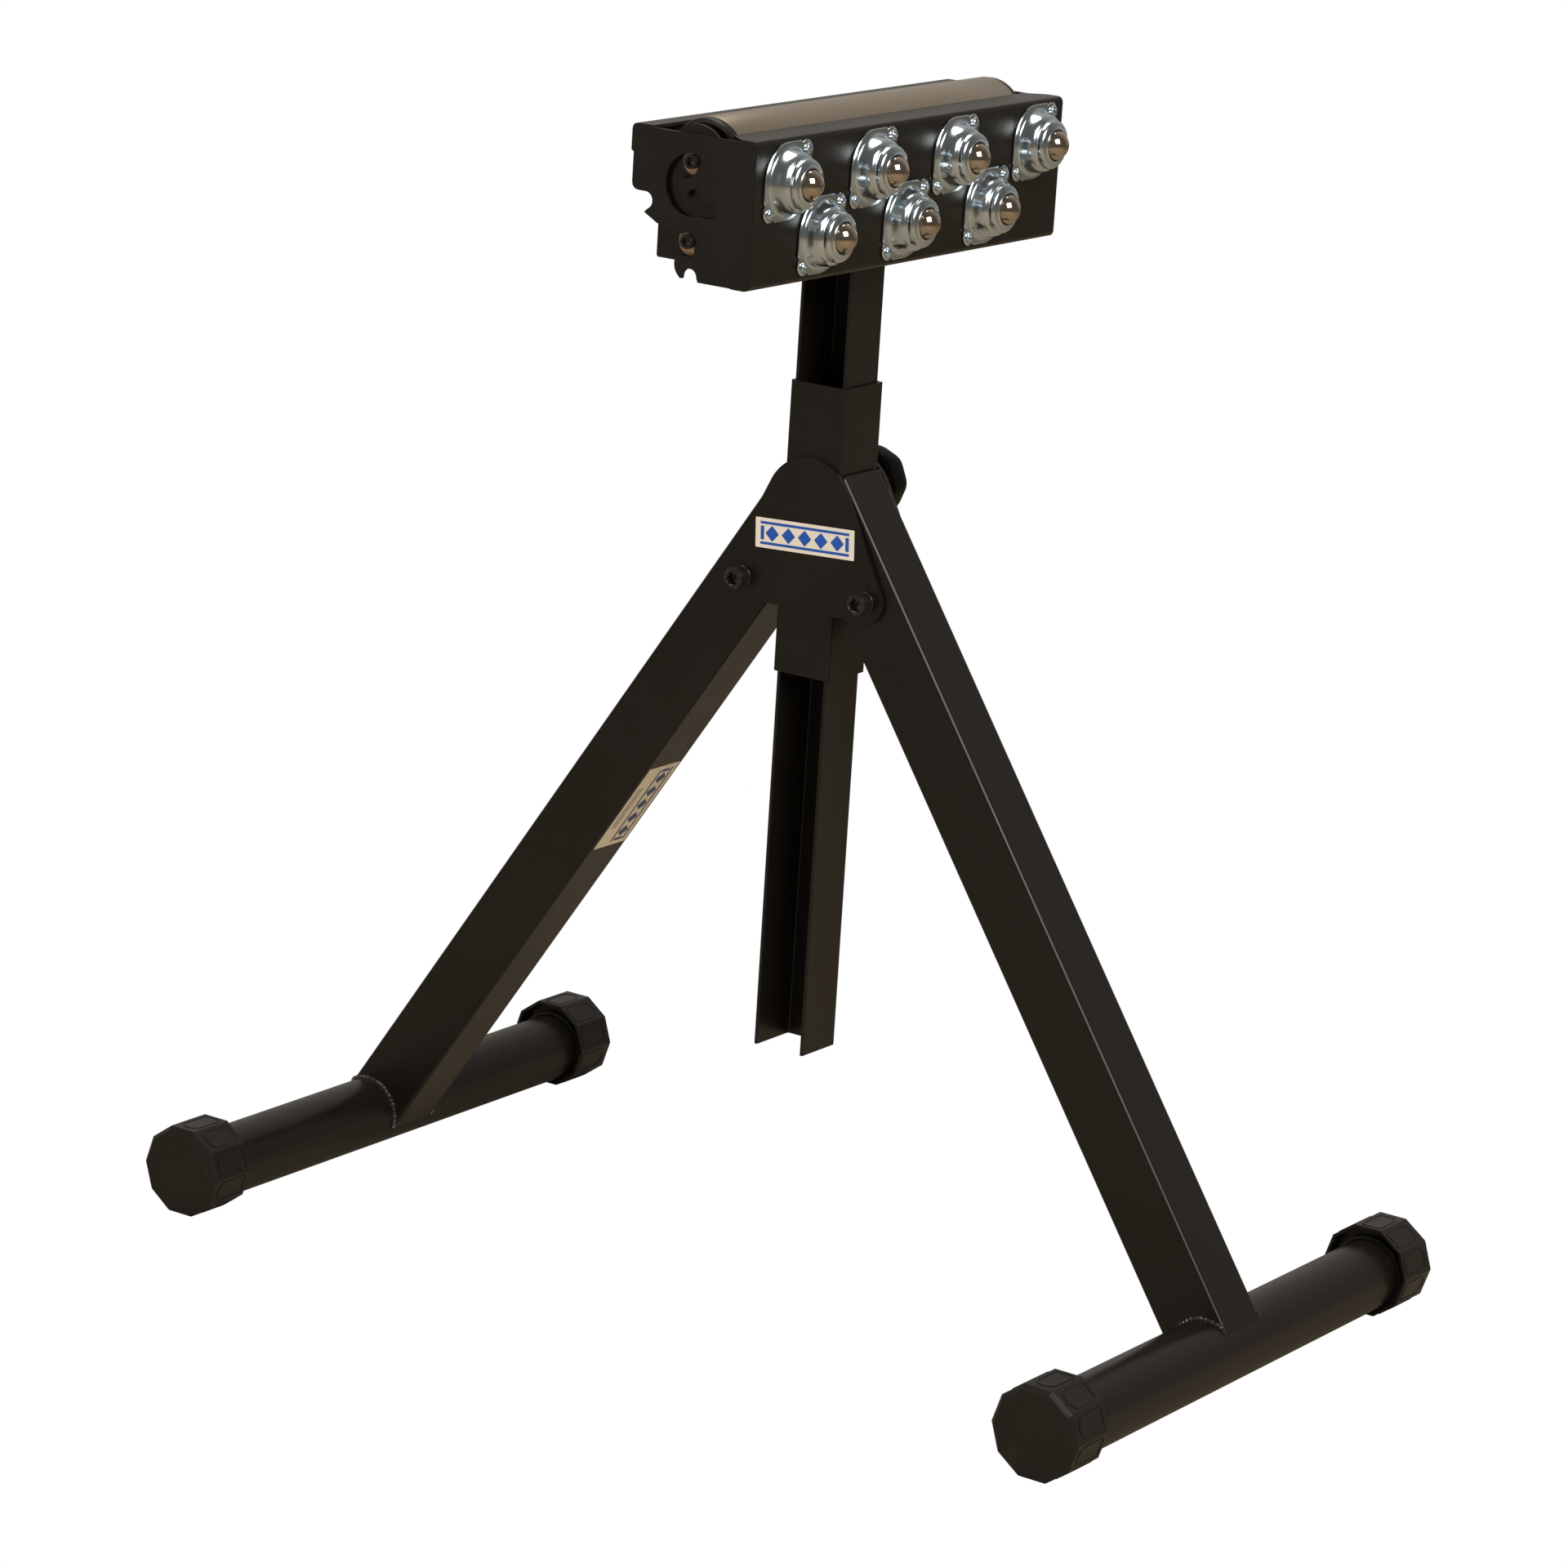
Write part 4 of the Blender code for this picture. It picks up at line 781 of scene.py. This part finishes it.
def makeHousing():
    wide = unitLook["halfWidth"]
    flange, start = unitLook["flange"], unitLook["earStart"]
    points = [
        (0, 0.0), (wide - 0.0004, 0.0), (wide, 0.0004), (wide, flange - 0.0005), (wide - 0.0005, flange),
        (0.0243, flange), (0.0232, 0.0018), (0.0224, 0.0025), (0.0219, 0.0036), (0.0214, 0.0058),
        (0.0209, 0.0082), (0.0205, 0.0101), (0.0199, 0.0116), (0.0190, 0.0128), (0.0181, 0.0135),
        (0.0174, 0.0139), (0.0171, 0.0144), (0.0170, 0.0150), (0.0172, 0.0156), (0.0173, 0.0164),
        (0.0170, 0.0174), (0.0163, 0.0182), (0.0153, 0.0188), (0.0142, 0.0191), (0.0134, 0.0192),
        (0.0128, 0.0194), (0.01235, 0.0199), (0.0119, 0.0202), (0.0114, 0.0202), (0.01105, 0.0199),
        (0.0110, 0.0195), (0.01125, 0.0186), (0.01135, 0.0172), (0.01135, 0.0085), (0.0100, 0.0063),
        (0.0060, 0.0057), (0, 0.0056)]
    housing = spinPiece("housingMaster", [(r, -x) for r, x in points], origin, "Y", unitLook["steps"])

    def rule(radius, along, angle):
        if radius < start:
            return radius
        share = min(1.0, (radius - start) / (wide - 0.0005 - start))
        return radius * (1 + (leaf(angle) - 1) * share)

    reshape(housing, origin, "Y", rule)
    smooth(housing, 40)
    return housing


def makeCrossScrew():
    look = crossScrewLook
    radius, rise = look["radius"], look["rise"]
    points = [(0, 0.0), (radius, 0.0), (radius, rise * 0.18), (radius * 0.95, rise * 0.48),
              (radius * 0.80, rise * 0.76), (radius * 0.55, rise * 0.93), (radius * 0.28, rise), (0, rise)]
    screw = spinPiece("crossMaster", [(r, -x) for r, x in points], origin, "Y", 32)
    for turn in (look["slotTurn"], look["slotTurn"] + math.pi / 2):
        clearSelection()
        bpy.ops.mesh.primitive_cube_add(size=1.0, location=(0, -rise, 0))
        bar = bpy.context.object
        bpy.ops.transform.resize(value=(look["slotLength"], look["slotDepth"] * 2, look["slot"]))
        settle(bar)
        bar.data.transform(Matrix.Rotation(turn, 4, "Y"))
        cutWith(screw, bar)
    fixNormals(screw)
    softenEdges(screw, look["edge"], 2, 40)
    smooth(screw, 35)
    return screw


def makeBall(radius):
    clearSelection()
    bpy.ops.mesh.primitive_cube_add(size=2 * radius, location=(0, 0, 0))
    ball = bpy.context.object
    ball.name = "ballMaster"
    bpy.ops.object.mode_set(mode="EDIT")
    bpy.ops.mesh.subdivide(number_cuts=15)
    bpy.ops.transform.tosphere(value=1.0)
    bpy.ops.object.mode_set(mode="OBJECT")
    for vertex in ball.data.vertices:
        vertex.co = vertex.co.normalized() * radius
    settle(ball)
    smooth(ball, 60)
    return ball


def makeBallUnits():
    housing, screw = makeHousing(), makeCrossScrew()
    ballLow, ballHigh = map(Vector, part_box("ball_1"))
    ball = makeBall((ballHigh.x - ballLow.x) / 2)
    for number in range(1, unitLook["count"] + 1):
        spot = middle(f"ball_{number}")
        low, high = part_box(f"ball_housing_{number}")
        root = Vector((spot.x, high[1], spot.z))  # on the plate's face
        piece = copyPiece(housing, f"ballHousing{number}", Matrix.Translation(root))
        finishPiece(piece, "ball_plate", made["zincPlate"], [f"ball_housing_{number}"])
        turn = Matrix.Rotation(number * 1.3, 4, "X") @ Matrix.Rotation(number * 0.7, 4, "Z")
        piece = copyPiece(ball, f"transferBall{number}", Matrix.Translation(spot) @ turn)
        finishPiece(piece, f"ball_{number}", made["ballSteel"], [f"ball_{number}"])
        for index, sign in enumerate((1, -1)):
            offset = sign * unitLook["screwSpot"]
            move = Matrix.Translation(root + Vector((offset, -unitLook["flange"], offset)))
            turn = Matrix.Rotation(number * 0.9 + index * 2.1, 4, "Y")  # each slot points its own way
            piece = copyPiece(screw, f"crossScrew{number}{'AB'[index]}", move @ turn)
            finishPiece(piece, "ball_plate", made["zincPlate"])
    dropMasters(housing, screw, ball)


makeBallUnits()
print("ball units made")

# Weld beads

weldLook = {"legRadius": 0.0025, "legTurn": 74, "gussetRadius": 0.0012, "gussetReach": 0.016,
            "ripple": 0.28, "step": 0.0016}


def makeBead(name, path, body, radius):
    # a swept bead whose girth ripples from one puddle to the next
    curve = bpy.data.curves.new(name, "CURVE")
    curve.dimensions = "3D"
    curve.bevel_depth = radius
    curve.bevel_resolution = 4
    curve.use_fill_caps = True
    length = sum((b - a).length for a, b in zip(path, path[1:]))
    count = max(6, int(length / weldLook["step"] * 2))
    spline = curve.splines.new("POLY")
    spline.points.add(count)
    for i in range(count + 1):
        along = i / count * (len(path) - 1)
        first = min(int(along), len(path) - 2)
        spot = path[first].lerp(path[first + 1], along - first)
        wobble = 1 - weldLook["ripple"] * (i % 2) + 0.14 * math.sin(i * 1.7) + 0.09 * math.sin(i * 0.61)
        taper = min(1.0, 0.35 + 0.3 * min(i, count - i))
        spline.points[i].co = (*spot, 1)
        spline.points[i].radius = wobble * taper
    bead = bpy.data.objects.new(name, curve)
    bpy.context.scene.collection.objects.link(bead)
    pick(bead)
    bpy.ops.object.convert(target="MESH")
    bead = bpy.context.object
    fixNormals(bead)
    smooth(bead, 80)
    finishPiece(bead, body, made["weldSteel"])


def makeWelds():
    for tag, sign in (("front", -1), ("back", 1)):
        low, high = map(Vector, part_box(f"foot_tube_{tag}"))
        foot, radius = (low + high) / 2, (high.y - low.y) / 2
        bolt = middle(f"leg_bolt_{tag}")
        rise = Vector((0, bolt.y - foot.y, bolt.z - foot.z)).normalized()
        across = Vector((0, -rise.z, rise.y)) * -sign
        legLow, legHigh = map(Vector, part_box(f"leg_tube_{tag}"))
        for side, x in (("Left", legLow.x), ("Right", legHigh.x)):
            path = []
            for i in range(33):
                turn = math.radians(weldLook["legTurn"] * (i / 16 - 1))
                offset = rise * math.cos(turn) + across * math.sin(turn)
                path.append(Vector((x, foot.y, foot.z)) + offset * (radius + 0.0002))
            makeBead(f"legWeld{tag.title()}{side}", path, f"{tag}_leg", weldLook["legRadius"])
    sleeveLow, sleeveHigh = map(Vector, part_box("sleeve"))
    reach = weldLook["gussetReach"]
    for side, node, x in (("Left", "gusset_left", sleeveLow.x), ("Right", "gusset_right", sleeveHigh.x)):
        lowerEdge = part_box(node)[0][2]
        path = [Vector((x, y, lowerEdge)) for y in (-reach, 0, reach)]
        makeBead(f"gussetWeld{side}", path, "frame", weldLook["gussetRadius"])


makeWelds()
print("welds made")

# Plain decorative labels

labelLook = {"length": 0.0836, "height": 0.0214, "legHeight": 0.0368, "round": 0.0006, "thickness": 0.00018,
             "ink": 0.00004, "gussetSpot": (0.0009, 0.5370), "gussetTilt": 2.95, "legSpot": (0.2151, 0.02502)}


def makeLabel(name, body, move, height, tones, rowShift=0.0, lines=()):
    # drawn flat, long side on X and printed side up, then moved to its place; its row of diamonds has
    # the gusset label's height on both labels, and lines are the heights of thin extra lines
    length, thick, ink, row = [labelLook[key] for key in ("length", "thickness", "ink", "height")]
    backing = makeSlab(name, (length, height, thick), labelLook["round"])
    backing.data.transform(Matrix.Translation((0, 0, thick / 2)))
    marks = []
    top = thick + ink / 2
    bars = [(rowShift + sign * row * 0.34, length * 0.90, row * 0.09) for sign in (-1, 1)]
    bars += [(y, length * 0.5, row * 0.035) for y in lines]
    for y, reach, width in bars:
        bar = makeSlab("bar", (reach, width, ink), 0)
        bar.data.transform(Matrix.Translation((0, y, top)))
        marks.append(bar)
    for i in range(5):
        tile = makeSlab("tile", (row * 0.38, row * 0.38, ink), row * 0.03)
        spot = Matrix.Translation(((i - 2) * length * 0.165, rowShift, top))
        tile.data.transform(spot @ Matrix.Rotation(math.pi / 4, 4, "Z"))
        marks.append(tile)
    for sign in (-1, 1):
        tab = makeSlab("tab", (length * 0.035, row * 0.46, ink), row * 0.02)
        tab.data.transform(Matrix.Translation((sign * length * 0.43, rowShift, top)))
        marks.append(tab)
    joinInto(marks[0], marks[1:])
    marks[0].name = name + "Print"
    for piece, finish in zip((backing, marks[0]), tones):
        piece.data.transform(move)
        piece.data.update()
        finishPiece(piece, body, made[finish])


def makeLabels():
    spot = Vector((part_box("gusset_left")[0][0], *labelLook["gussetSpot"]))
    basis = Matrix(((0, 0, -1), (-1, 0, 0), (0, 1, 0))).to_4x4()  # long side towards -Y, face towards -X
    tilt = Matrix.Rotation(math.radians(labelLook["gussetTilt"]), 4, "Z")
    makeLabel("gussetLabel", "frame", Matrix.Translation(spot) @ basis @ tilt, labelLook["height"],
              ("labelCream", "labelBlue"))
    bolt, foot = middle("leg_bolt_back"), middle("foot_tube_back")
    down = Vector((0, foot.y - bolt.y, foot.z - bolt.z)).normalized()
    face = Vector((0, down.z, -down.y))  # outwards from the leg's inner face
    along, lift = labelLook["legSpot"]
    centre = Vector((0, bolt.y, bolt.z)) + down * along + face * lift
    basis = Matrix((down, face.cross(down), face)).transposed().to_4x4()
    height = labelLook["legHeight"]
    makeLabel("legLabel", "back_leg", Matrix.Translation(centre) @ basis, height, ("legCream", "legBlue"),
              height * 0.16, [-height * 0.26, -height * 0.32, -height * 0.38])


makeLabels()
print("labels made")

# Floor, light and camera

stageLook = {"floor": (0.86, 0.83, 0.79), "glossFloor": (0.34, 0.285, 0.215), "worldLight": 0.36,
             "warm": (1.0, 0.94, 0.85), "bright": 0.42, "dim": 0.11, "backdrop": (0.80, 0.55, 0.25)}
lamps = {  # place, width and height, power, colour
    "keySoftbox": ((-1.1, -2.6, 2.7), (1.9, 1.9), 90, (1.0, 0.94, 0.85)),
    "topSoftbox": ((0.4, 0.9, 3.2), (1.8, 1.2), 29, (1.0, 0.94, 0.86)),
    "sideSoftbox": ((-2.8, 1.4, 1.5), (0.9, 1.6), 11, (1.0, 0.94, 0.85)),
}
lampAim = Vector((0, 0, 0.5))
view = {"right": (0.57478, -0.81605, 0.0608), "down": (-0.17664, -0.19627, -0.96451),
        "forward": (0.79901, 0.54364, -0.25696), "place": (-3.2348, -2.1775, 1.3906), "lens": 130.736}


def makeFloor():
    clearSelection()
    bpy.ops.mesh.primitive_plane_add(size=24.0, location=(0, 0, -0.0003))
    floor = bpy.context.object
    floor.name = "paleFloor"
    floor.visible_camera = False  # the world is the white background, and a folded leg hangs below the floor
    material = bpy.data.materials.new("paleFloor")
    material.use_nodes = True
    tree = material.node_tree
    shader = tree.nodes["Principled BSDF"]
    shader.inputs["Roughness"].default_value = 0.9
    shader.inputs["Specular IOR Level"].default_value = 0.0
    path = tree.nodes.new("ShaderNodeLightPath")
    tone = addNode(tree, "ShaderNodeMix", {"Factor": path.outputs["Is Glossy Ray"]}, data_type="RGBA")
    tone.inputs[6].default_value = (*stageLook["floor"], 1.0)
    tone.inputs[7].default_value = (*stageLook["glossFloor"], 1.0)
    tree.links.new(tone.outputs[2], shader.inputs["Base Color"])
    floor.data.materials.append(material)


def makeWorld():
    # white to the camera, a plain warm light, and in reflections a bright backdrop opposite the camera
    world = bpy.data.worlds.new("paleRoom")
    bpy.context.scene.world = world
    world.use_nodes = True
    tree = world.node_tree
    background = tree.nodes["Background"]
    path = tree.nodes.new("ShaderNodeLightPath")
    seen = mathNode(tree, "MAXIMUM", path.outputs["Is Camera Ray"], path.outputs["Is Transmission Ray"])
    facing = tree.nodes.new("ShaderNodeVectorMath")  # 1 towards the backdrop, below 0 away from it
    facing.operation = "DOT_PRODUCT"
    tree.links.new(tree.nodes.new("ShaderNodeTexCoord").outputs["Generated"], facing.inputs[0])
    facing.inputs[1].default_value = stageLook["backdrop"]
    glow = rangeNode(tree, facing.outputs["Value"], 0.15, 0.95, stageLook["dim"], stageLook["bright"])
    gloss = mathNode(tree, "MULTIPLY", path.outputs["Is Glossy Ray"], glow)
    spread = mathNode(tree, "SUBTRACT", 1.0, mathNode(tree, "MAXIMUM", seen, path.outputs["Is Glossy Ray"]))
    soft = mathNode(tree, "MULTIPLY", spread, stageLook["worldLight"])
    strength = mathNode(tree, "MAXIMUM", mathNode(tree, "MAXIMUM", seen, gloss), soft)
    tone = addNode(tree, "ShaderNodeMix", {"Factor": seen}, data_type="RGBA")
    tone.inputs[6].default_value = (*stageLook["warm"], 1.0)
    tone.inputs[7].default_value = (1, 1, 1, 1)
    tree.links.new(tone.outputs[2], background.inputs["Color"])
    tree.links.new(strength, background.inputs["Strength"])


def addLamp(name, spot, size, power, colour):
    lamp = bpy.data.lights.new(name, "AREA")
    lamp.shape = "RECTANGLE"
    lamp.size, lamp.size_y = size
    lamp.energy = power
    lamp.color = colour
    thing = bpy.data.objects.new(name, lamp)
    bpy.context.scene.collection.objects.link(thing)
    thing.location = spot
    thing.rotation_euler = (lampAim - Vector(spot)).to_track_quat("-Z", "Y").to_euler()


def makeCamera():
    right, down, forward = (Vector(view[key]) for key in ("right", "down", "forward"))
    camera = bpy.data.cameras.new("photoView")
    camera.sensor_width = 36.0
    camera.lens = view["lens"]
    camera.clip_end = 60.0
    thing = bpy.data.objects.new("photoView", camera)
    bpy.context.scene.collection.objects.link(thing)
    turn = Matrix((right, -down, -forward)).transposed().to_4x4()
    thing.matrix_world = Matrix.Translation(view["place"]) @ turn
    bpy.context.scene.camera = thing


makeFloor()
makeWorld()
for name, look in lamps.items():
    addLamp(name, *look)
makeCamera()
bpy.context.scene.view_settings.view_transform = "Standard"
print("stage set")
